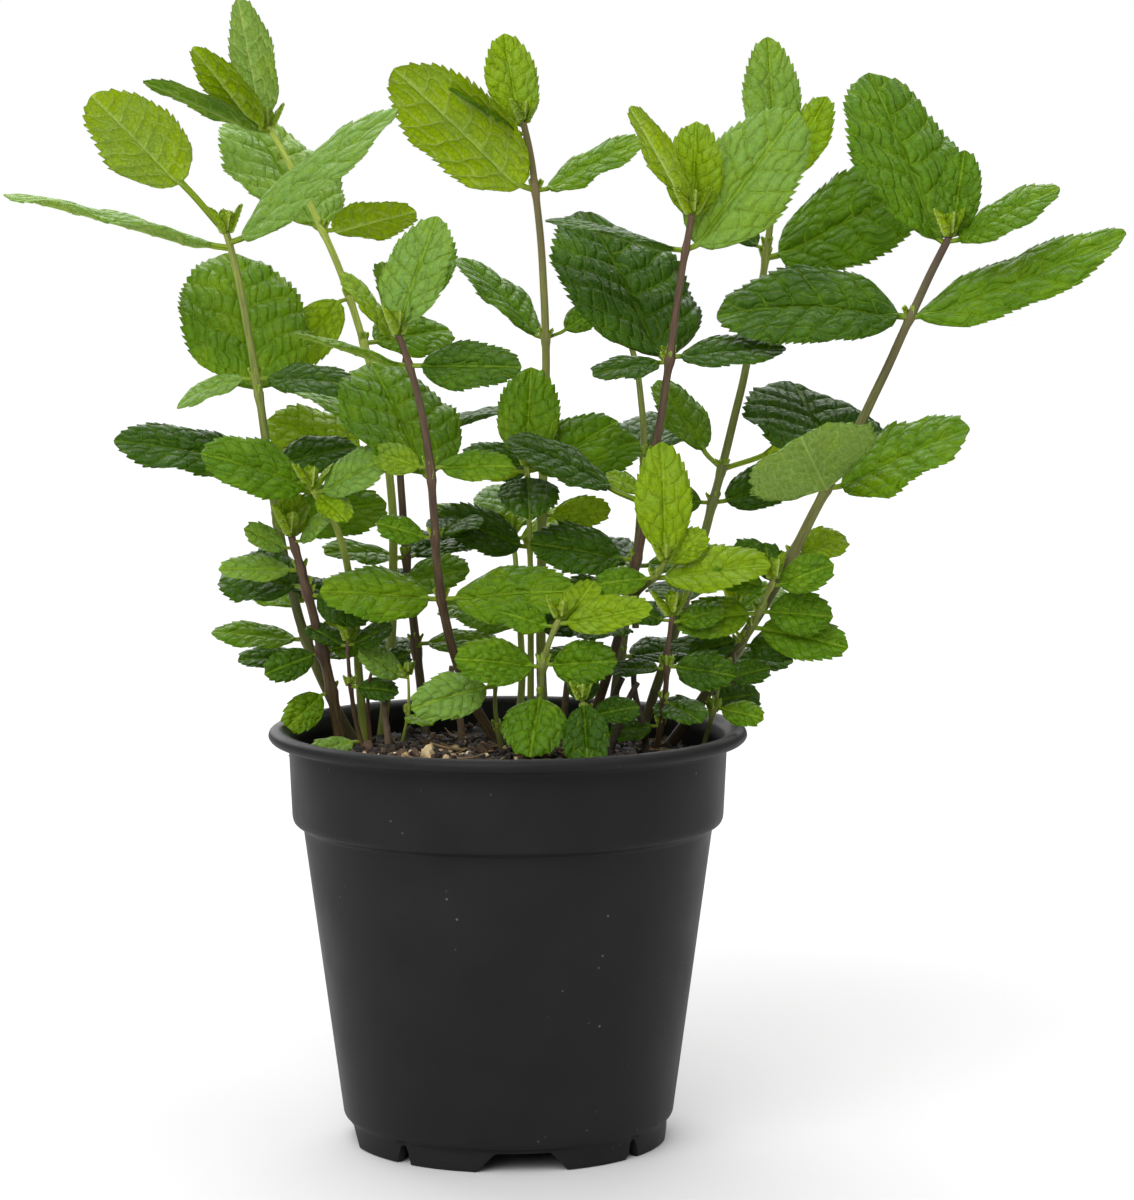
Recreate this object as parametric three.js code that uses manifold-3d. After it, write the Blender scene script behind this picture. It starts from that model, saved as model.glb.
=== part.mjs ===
// A potted mint plant: a moulded nursery pot, its soil, and square-stemmed shoots with opposite, ovate leaves.
// Millimetres, +Z up. X runs across the widest spread of the shoots and -Y is the front.
// While it is being built, the pot's axis is the Z axis and the pot stands on Z = 0. At the end the whole
// plant is moved so that the origin is the middle of the underside of its bounding box.
import * as THREE from 'three';
import { mergeVertices } from 'three/addons/utils/BufferGeometryUtils.js';
import Module from 'manifold-3d';

const wasm = await Module();
wasm.setup();

// ---------------------------------------------------------------- driving dimensions
const RIM_RADIUS = 65;
const POT_HEIGHT = 113;
const WALL = 1.8;
const FOOT_RADIUS = 43.4;
const FOOT_DEPTH = 6.5;
const FLOOR_RADIUS = 45;
const BAND_BOTTOM = 87;
const BELOW_BAND_RADIUS = 55.6;
const BAND_RADIUS = 59.5;
const HEADSPACE = 8;
const GAP = 0.3;
const SOIL_TOP = POT_HEIGHT - HEADSPACE;
const PLANTING_DEPTH = 14;
const ROOT_OVERLAP = 1;
const LEAF_THICKNESS = 1.0;
const PETIOLE_HALF = 0.7;

const POT_FACETS = 48;
const STEM_STEPS = 9;

const COLOURS = {
  pot: 0x333335,
  soil: 0x2a2019,
  purple: 0x5a4038,
  olive: 0x6b7a35,
  pale: 0xa4b04a,
  leaf: 0x3f7d23,
};

// ---------------------------------------------------------------- how the plant grows
// route: the points that the stem passes at its foot, at a third, at two thirds and at its top.
// leaves: [place along the stem from 0 to 1, heading seen from above, rise above level, length with its stalk,
//          width, bend downwards along the leaf, roll about its midrib, the stalk's share of the length].
//          Angles are degrees, headings run anticlockwise from +X, and a positive roll lifts the side on the
//          left of the heading.
const SHOOTS = {
  left_tall: {
    bark: 'olive', thickness: 2.6,
    route: [[-43, 26, 105], [-60, 18, 150], [-67, 6, 199], [-75, -2, 246]],
    leaves: [
      [1.00, 203, 46, 51, 26, 8, 50, 0.34],
      [0.97, 180, 16, 60, 28, 4, 0, 0.05],
      [0.98, 345, 41, 57, 24, 6, 40, 0.04],
      [0.69, 104, 50, 54, 38, 12, 0, 0.04],
      [0.56, 188, 14, 40, 22, 10, -30, 0.07],
    ],
  },
  left_pale: {
    bark: 'pale', thickness: 2.4,
    route: [[-36, 34, 105], [-33, 42, 168], [-43, 46, 222], [-67, 42, 275]],
    leaves: [
      [1.00, 172, 78, 35, 18, 0, 60, 0.04],
      [0.99, 190, 26, 36, 18, 6, 15, 0.05],
      [0.82, 127, 44, 50, 38, 8, 0, 0.05],
      [0.41, 172, 24, 35, 22, 10, -40, 0.20],
    ],
  },
  left_short: {
    bark: 'purple', thickness: 2.8,
    route: [[-46, 14, 105], [-50, 7, 130], [-54, 0, 149], [-58, -6, 165]],
    leaves: [],
  },
  left_curved: {
    bark: 'pale', thickness: 2.2,
    route: [[-40, 20, 105], [-42, 12, 141], [-45, 2, 163], [-52, -10, 178]],
    leaves: [
      [1.00, 202, 22, 31, 22, 12, -45, 0.05],
    ],
  },
  centre_purple: {
    bark: 'purple', thickness: 2.5,
    route: [[-2, 12, 105], [-17, -5, 144], [-20, -20, 182], [-28, -32, 220]],
    leaves: [
      [1.00, 42, 66, 33, 19, 6, 25, 0.04],
      [0.93, 190, 20, 29, 16, 6, 0, 0.04],
      [0.66, 118, 46, 46, 35, 12, 0, 0.05],
      [0.37, 197, 10, 31, 20, 14, -45, 0.05],
      [0.37, 341, 10, 35, 20, 14, 45, 0.05],
    ],
  },
  centre_tall: {
    bark: 'pale', thickness: 2.6,
    route: [[10, 36, 105], [9, 42, 162], [10, 40, 219], [4, 30, 276]],
    leaves: [
      [0.89, 190, 44, 50, 31, 6, 45, 0.04],
      [0.89, 352, 30, 31, 18, 6, 30, 0.05],
      [0.65, 150, 46, 34, 24, 10, 0, 0.05],
    ],
  },
  centre_thin: {
    bark: 'pale', thickness: 1.8,
    route: [[6, 20, 105], [6, 18, 132], [6, 12, 158], [5, 6, 183]],
    leaves: [
      [1.00, 85, 62, 29, 18, 6, 0, 0.04],
    ],
  },
  right_purple: {
    bark: 'purple', thickness: 2.5,
    route: [[20, 12, 105], [34, 2, 154], [42, -6, 204], [49, -12, 251]],
    leaves: [
      [0.93, 20, 52, 48, 28, 6, 55, 0.04],
      [1.00, 166, 60, 32, 17, 4, 40, 0.05],
      [0.93, 186, 17, 36, 18, 8, 0, 0.04],
      [0.72, 122, 50, 56, 44, 10, 0, 0.04],
      [0.46, 190, 33, 40, 24, 14, -20, 0.24],
    ],
  },
  right_side: {
    bark: 'olive', thickness: 1.7,
    route: [[34.5, -3, 149], [37, -8, 152], [40, -12, 155], [42, -15, 159]],
    leaves: [
      [1.00, 100, 80, 31, 16, 0, 0, 0.05],
      [0.60, 343, 12, 30, 17, 10, 40, 0.04],
    ],
  },
  right_olive: {
    bark: 'olive', thickness: 2.5,
    route: [[36, 26, 105], [55, 34, 165], [67, 40, 214], [74, 38, 262]],
    leaves: [
      [1.00, 110, 79, 37, 18, 0, 0, 0.04],
      [0.84, 340, 28, 54, 33, 8, 54, 0.04],
    ],
  },
  right_tall: {
    bark: 'purple', thickness: 2.8,
    route: [[44, 16, 105], [77, 0, 160], [102, -8, 212], [117, -12, 245]],
    leaves: [
      [0.97, 127, 62, 54, 36, 8, 0, 0.03],
      [0.98, 342, 30, 31, 20, 6, 30, 0.04],
      [0.76, 350, 19, 59, 22, -10, 45, 0.02],
      [0.76, 186, 14, 50, 31, 36, -40, 0.03],
      [0.48, 105, 32, 41, 42, 6, 6, 0.04],
      [0.44, 340, 28, 40, 28, 8, 40, 0.05],
      [0.44, 256, 24, 36, 38, -6, 30, 0.05],
    ],
  },
  right_tall_side: {
    bark: 'olive', thickness: 1.6,
    route: [[61, 3, 133], [65, -4, 139], [68, -9, 146], [71, -14, 154]],
    leaves: [],
  },
  front_low: {
    bark: 'olive', thickness: 2.0,
    route: [[8, -18, 105], [9, -21, 123], [10, -24, 134], [14, -27, 145]],
    leaves: [
      [0.60, 198, 12, 22, 15, 16, -50, 0.05],
    ],
  },
  back_left: {
    bark: 'purple', thickness: 2.4,
    route: [[-24, 44, 105], [-29, 58, 145], [-32, 70, 184], [-28, 80, 222]],
    leaves: [
      [1.00, 80, 50, 34, 20, 10, 0, 0.04],
      [0.70, 140, 24, 42, 26, 14, 0, 0.07],
      [0.68, 15, 22, 40, 25, 14, 0, 0.07],
    ],
  },
  back_right: {
    bark: 'olive', thickness: 2.4,
    route: [[28, 42, 105], [34, 57, 143], [38, 70, 180], [34, 82, 214]],
    leaves: [
      [1.00, 95, 46, 36, 21, 12, 0, 0.04],
      [0.68, 75, 20, 40, 26, 14, 0, 0.07],
    ],
  },
  back_low: {
    bark: 'pale', thickness: 2.0,
    route: [[2, 48, 105], [3, 60, 124], [2, 70, 142], [0, 78, 158]],
    leaves: [
      [1.00, 92, 26, 36, 22, 16, 0, 0.05],
    ],
  },
};

// ---------------------------------------------------------------- solids
function toSolid(geometry) {
  const bare = geometry.index ? geometry.toNonIndexed() : geometry.clone();
  bare.deleteAttribute('normal');
  bare.deleteAttribute('uv');
  const merged = mergeVertices(bare, 1e-3);
  return new wasm.Manifold(new wasm.Mesh({
    numProp: 3,
    vertProperties: new Float32Array(merged.attributes.position.array),
    triVerts: new Uint32Array(merged.index.array),
  }));
}

function toGeometry(solid) {
  const mesh = solid.getMesh();
  const geometry = new THREE.BufferGeometry();
  geometry.setAttribute('position', new THREE.BufferAttribute(mesh.vertProperties, 3));
  geometry.setIndex(new THREE.BufferAttribute(mesh.triVerts, 1));
  return geometry;
}

function lathe(outline, facets) {
  const geometry = new THREE.LatheGeometry(outline.map(([r, z]) => new THREE.Vector2(r, z)), facets);
  return geometry.rotateX(Math.PI / 2);
}

function named(name, geometry, colour, roughness) {
  geometry.computeVertexNormals();
  const mesh = new THREE.Mesh(geometry, new THREE.MeshStandardMaterial({ color: colour, roughness, metalness: 0 }));
  mesh.name = name;
  return mesh;
}

// ---------------------------------------------------------------- pot
// Inside of the wall: the same steps as the outside, one wall thickness further in.
const FLOOR_TOP = FOOT_DEPTH + WALL;
const INNER_FLOOR_RADIUS = FLOOR_RADIUS - WALL;
const INNER_SHOULDER = BAND_BOTTOM + WALL;
const INNER_SHOULDER_RADIUS = BELOW_BAND_RADIUS - WALL;
const INNER_BAND_RADIUS = BAND_RADIUS - WALL;
const LIP_HEIGHT = 4;

function potOutline() {
  const lipBottom = POT_HEIGHT - LIP_HEIGHT;
  return [
    [0, FOOT_DEPTH],
    [FOOT_RADIUS - 2.6, FOOT_DEPTH],
    [FOOT_RADIUS - 2.4, 0],
    [FOOT_RADIUS, 0],
    [FOOT_RADIUS, FOOT_DEPTH - 1],
    [FLOOR_RADIUS, FOOT_DEPTH + 0.6],
    [BELOW_BAND_RADIUS, BAND_BOTTOM - 0.8],
    [BAND_RADIUS - 1.8, BAND_BOTTOM],
    [BAND_RADIUS - 1.1, BAND_BOTTOM + 1.4],
    [BAND_RADIUS, lipBottom],
    [RIM_RADIUS - 1.2, lipBottom + 0.4],
    [RIM_RADIUS, lipBottom + 1.8],
    [RIM_RADIUS - 0.6, POT_HEIGHT - 0.6],
    [RIM_RADIUS - 1.8, POT_HEIGHT],
    [RIM_RADIUS - 3.4, POT_HEIGHT],
    [INNER_BAND_RADIUS + 0.6, POT_HEIGHT - 1.8],
    [INNER_BAND_RADIUS, lipBottom - 1],
    [INNER_BAND_RADIUS - 1.1, INNER_SHOULDER + 1.4],
    [INNER_SHOULDER_RADIUS, INNER_SHOULDER],
    [INNER_FLOOR_RADIUS, FLOOR_TOP],
    [0, FLOOR_TOP],
  ];
}

// Four wide and four narrow notches let water out under the foot ring.
const NOTCHES = 8;
const NOTCH_TURN = -84;
const WIDE_NOTCH = 20;
const NARROW_NOTCH = 3;
const NOTCH_HEIGHT = FOOT_DEPTH - 1.4;
const NOTCH_BOX_DEPTH = 12;
const NOTCH_BOX_HEIGHT = 8;
const DRAIN_HOLES = 8;
const DRAIN_RADIUS = 3.5;
const DRAIN_CIRCLE = 33;

function potGeometry() {
  let pot = toSolid(lathe(potOutline(), POT_FACETS));
  for (let i = 0; i < NOTCHES; i += 1) {
    const width = i % 2 === 0 ? WIDE_NOTCH : NARROW_NOTCH;
    const notch = new THREE.BoxGeometry(NOTCH_BOX_DEPTH, width, NOTCH_BOX_HEIGHT);
    notch.translate(FOOT_RADIUS, 0, NOTCH_HEIGHT - NOTCH_BOX_HEIGHT / 2);
    notch.rotateZ(THREE.MathUtils.degToRad(NOTCH_TURN + i * 360 / NOTCHES));
    pot = pot.subtract(toSolid(notch));
  }
  for (let i = 0; i < DRAIN_HOLES; i += 1) {
    const hole = new THREE.CylinderGeometry(DRAIN_RADIUS, DRAIN_RADIUS, 6, 10);
    hole.rotateX(Math.PI / 2);
    hole.translate(DRAIN_CIRCLE, 0, FOOT_DEPTH + WALL / 2);
    hole.rotateZ(THREE.MathUtils.degToRad(NOTCH_TURN + 22.5 + i * 360 / DRAIN_HOLES));
    pot = pot.subtract(toSolid(hole));
  }
  return toGeometry(pot);
}

// ---------------------------------------------------------------- stems
// A stem is the cubic curve through the four points of its route.
class StemCurve extends THREE.Curve {
  constructor(route) {
    super();
    this.route = route;
  }

  getPoint(t, target = new THREE.Vector3()) {
    const places = [0, 1 / 3, 2 / 3, 1];
    target.set(0, 0, 0);
    this.route.forEach((point, i) => {
      const weight = places.reduce((product, other, j) => (
        j === i ? product : product * (t - other) / (places[i] - other)), 1);
      target.addScaledVector(new THREE.Vector3(...point), weight);
    });
    return target;
  }
}

// Mint stems are square with soft corners.
function stemSection(thickness) {
  const half = thickness / 2;
  const corner = half * 0.6;
  return new THREE.Shape([
    [half, -corner], [half, corner], [corner, half], [-corner, half],
    [-half, corner], [-half, -corner], [-corner, -half], [corner, -half],
  ].map(([x, y]) => new THREE.Vector2(x, y)));
}

function stemGeometry(route, thickness) {
  return new THREE.ExtrudeGeometry(stemSection(thickness), {
    steps: STEM_STEPS, extrudePath: new StemCurve(route), bevelEnabled: false,
  });
}

// A planted stem goes on straight down into the soil below its foot, and overlaps the curved part a little.
function rootGeometry([x, y], thickness) {
  const root = new THREE.CylinderGeometry(thickness / 2, thickness / 2, PLANTING_DEPTH, 8);
  root.rotateX(Math.PI / 2);
  return root.translate(x, y, SOIL_TOP + ROOT_OVERLAP - PLANTING_DEPTH / 2);
}

// ---------------------------------------------------------------- soil
// Its side follows the inside of the wall, one gap and a little more away from it.
const SIDE_GAP = 2 * GAP;
const FLAT_SOIL_RADIUS = 40;

function soilGeometry() {
  const outline = [
    [0, FLOOR_TOP + GAP],
    [INNER_FLOOR_RADIUS - 1, FLOOR_TOP + GAP],
    [INNER_SHOULDER_RADIUS - SIDE_GAP, INNER_SHOULDER],
    [INNER_BAND_RADIUS - 1.1 - SIDE_GAP, INNER_SHOULDER + 2],
    [INNER_BAND_RADIUS - SIDE_GAP - 0.2, SOIL_TOP - 2.5],
    [INNER_BAND_RADIUS - 4, SOIL_TOP - 1],
    [FLAT_SOIL_RADIUS, SOIL_TOP],
    [0, SOIL_TOP],
  ];
  let soil = toSolid(lathe(outline, 32));
  for (const shoot of Object.values(SHOOTS)) {
    if (shoot.route[0][2] === SOIL_TOP) {
      soil = soil.subtract(toSolid(rootGeometry(shoot.route[0], shoot.thickness + 4 * GAP)));
    }
  }
  return toGeometry(soil);
}

// ---------------------------------------------------------------- leaves
// Half the blade's width, as a part of its greatest half-width, u of the way from its base to its tip.
function bladeWidth(u) {
  const power = (v) => (v ** 0.5) * ((1 - v) ** 0.6);
  return power(u) / power(0.5 / 1.1);
}

// The leaf's midrib is an arc that starts in the heading and rise, and bends down by the bend.
function leafFrame(start, [, heading, rise, length, , bend, roll]) {
  const [turn, climb, arc, tilt] = [heading, rise, bend || 0.1, roll].map(THREE.MathUtils.degToRad);
  const along = new THREE.Vector3(Math.cos(climb) * Math.cos(turn), Math.cos(climb) * Math.sin(turn), Math.sin(climb));
  const level = new THREE.Vector3(-Math.sin(turn), Math.cos(turn), 0);
  const upper = new THREE.Vector3().crossVectors(along, level);
  const side = level.clone().multiplyScalar(Math.cos(tilt)).addScaledVector(upper, Math.sin(tilt));
  const face = new THREE.Vector3().crossVectors(along, side);
  return (s) => {
    const turned = arc * s;
    const point = start.clone()
      .addScaledVector(along, (length / arc) * Math.sin(turned))
      .addScaledVector(face, -(length / arc) * (1 - Math.cos(turned)));
    const normal = face.clone().multiplyScalar(Math.cos(turned)).addScaledVector(along, Math.sin(turned));
    return { point, normal, side };
  };
}

const BLADE_PLACES = [0.03, 0.14, 0.32, 0.55, 0.78, 0.93];
const FOLD = 0.16;

function leafGeometry(start, row) {
  const [width, stalk] = [row[4], row[7]];
  const frame = leafFrame(start, row);
  const stations = [[0, PETIOLE_HALF], [stalk, PETIOLE_HALF]];
  for (const u of BLADE_PLACES) {
    stations.push([stalk + (1 - stalk) * u, Math.max(PETIOLE_HALF, bladeWidth(u) * width / 2)]);
  }
  stations.push([1, 0.4]);
  const positions = [];
  for (const [s, half] of stations) {
    const { point, normal, side } = frame(s);
    const lift = half > PETIOLE_HALF ? FOLD * half : 0;
    for (const [across, up] of [[1, lift], [0, LEAF_THICKNESS / 2], [-1, lift], [0, -LEAF_THICKNESS / 2]]) {
      const corner = point.clone().addScaledVector(side, across * half).addScaledVector(normal, up);
      positions.push(corner.x, corner.y, corner.z);
    }
  }
  const faces = [0, 2, 1, 0, 3, 2];
  const last = 4 * (stations.length - 1);
  for (let ring = 0; ring < last; ring += 4) {
    for (let i = 0; i < 4; i += 1) {
      const [a, b] = [ring + i, ring + (i + 1) % 4];
      faces.push(a, b + 4, a + 4, a, b, b + 4);
    }
  }
  faces.push(last, last + 1, last + 2, last, last + 2, last + 3);
  const geometry = new THREE.BufferGeometry();
  geometry.setAttribute('position', new THREE.Float32BufferAttribute(positions, 3));
  geometry.setIndex(faces);
  return geometry;
}

// A leaf's stalk starts just clear of the stem's side, or of its end when it grows from the very top.
function leafStart(curve, thickness, [place, heading]) {
  const start = curve.getPoint(place);
  if (place === 1) {
    return start.addScaledVector(curve.getTangent(1), 1 + GAP);
  }
  const turn = THREE.MathUtils.degToRad(heading);
  const reach = thickness / 2 + PETIOLE_HALF + GAP;
  return start.add(new THREE.Vector3(Math.cos(turn) * reach, Math.sin(turn) * reach, 0));
}

// ---------------------------------------------------------------- assembly
const plant = new THREE.Group();
plant.add(named('pot', potGeometry(), COLOURS.pot, 0.45));
plant.add(named('soil', soilGeometry(), COLOURS.soil, 0.95));

for (const [name, { bark, thickness, route, leaves }] of Object.entries(SHOOTS)) {
  let stem = toSolid(stemGeometry(route, thickness));
  if (route[0][2] === SOIL_TOP) {
    stem = stem.add(toSolid(rootGeometry(route[0], thickness)));
  }
  plant.add(named(`stem_${name}`, toGeometry(stem), COLOURS[bark], 0.6));
  const curve = new StemCurve(route);
  leaves.forEach((row, i) => {
    const start = leafStart(curve, thickness, row);
    plant.add(named(`leaf_${name}_${i + 1}`, leafGeometry(start, row), COLOURS.leaf, 0.55));
  });
}

const box = new THREE.Box3().setFromObject(plant);
plant.position.set(-(box.min.x + box.max.x) / 2, -(box.min.y + box.max.y) / 2, -box.min.z);

export default plant;
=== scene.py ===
"""A potted mint plant: nursery pot, compost, square stems and quilted, toothed leaves.

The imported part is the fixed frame. Every piece here is worked out around it: the pot's axis, the soil's
top and the surface that the pot stands on come from the frame, and the growth table says in millimetres
from them where each shoot and leaf grows. The file is laid out as an add-on and run as a script.
"""

import math
from collections import namedtuple

import bpy
import numpy as np
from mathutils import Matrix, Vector


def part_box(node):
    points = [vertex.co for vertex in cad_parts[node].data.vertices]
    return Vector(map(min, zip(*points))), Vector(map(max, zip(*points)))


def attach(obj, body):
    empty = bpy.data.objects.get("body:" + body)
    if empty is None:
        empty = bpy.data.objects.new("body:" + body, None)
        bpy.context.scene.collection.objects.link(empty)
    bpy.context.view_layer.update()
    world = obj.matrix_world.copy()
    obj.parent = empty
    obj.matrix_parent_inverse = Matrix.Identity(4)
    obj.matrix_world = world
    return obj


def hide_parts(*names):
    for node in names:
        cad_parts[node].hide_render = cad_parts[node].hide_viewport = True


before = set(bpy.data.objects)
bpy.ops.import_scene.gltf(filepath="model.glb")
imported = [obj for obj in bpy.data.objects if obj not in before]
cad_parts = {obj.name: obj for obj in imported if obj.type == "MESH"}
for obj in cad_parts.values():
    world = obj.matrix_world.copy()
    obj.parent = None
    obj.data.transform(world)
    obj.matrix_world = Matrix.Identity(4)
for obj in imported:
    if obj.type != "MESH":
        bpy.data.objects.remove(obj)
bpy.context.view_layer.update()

bl_info = {
    "name": "Potted Mint",
    "version": (1, 0, 0),
    "blender": (4, 5, 0),
    "location": "3D View > Sidebar > Mint",
    "description": "Grows a mint plant in a moulded nursery pot",
    "category": "Add Mesh",
}

MM = 0.001
UV_NAME = "OFBake"

# ------------------------------------------------------------------ places that the frame gives
pot_low, pot_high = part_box("pot")
soil_low, soil_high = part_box("soil")
POT_AXIS = np.array([(pot_low.x + pot_high.x) / 2, (pot_low.y + pot_high.y) / 2, pot_low.z])
RIM_RADIUS = (pot_high.x - pot_low.x) / 2 / MM
POT_HEIGHT = (pot_high.z - pot_low.z) / MM
SOIL_TOP = (soil_high.z - pot_low.z) / MM
SOIL_BOTTOM = (soil_low.z - pot_low.z) / MM
SOIL_RADIUS = (soil_high.x - soil_low.x) / 2 / MM

# The compost's radius at the pot's floor in mm, and the studio floor's radius in metres.
SOIL_FOOT_RADIUS = 43.4
FLOOR_RADIUS = 6.0

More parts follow.
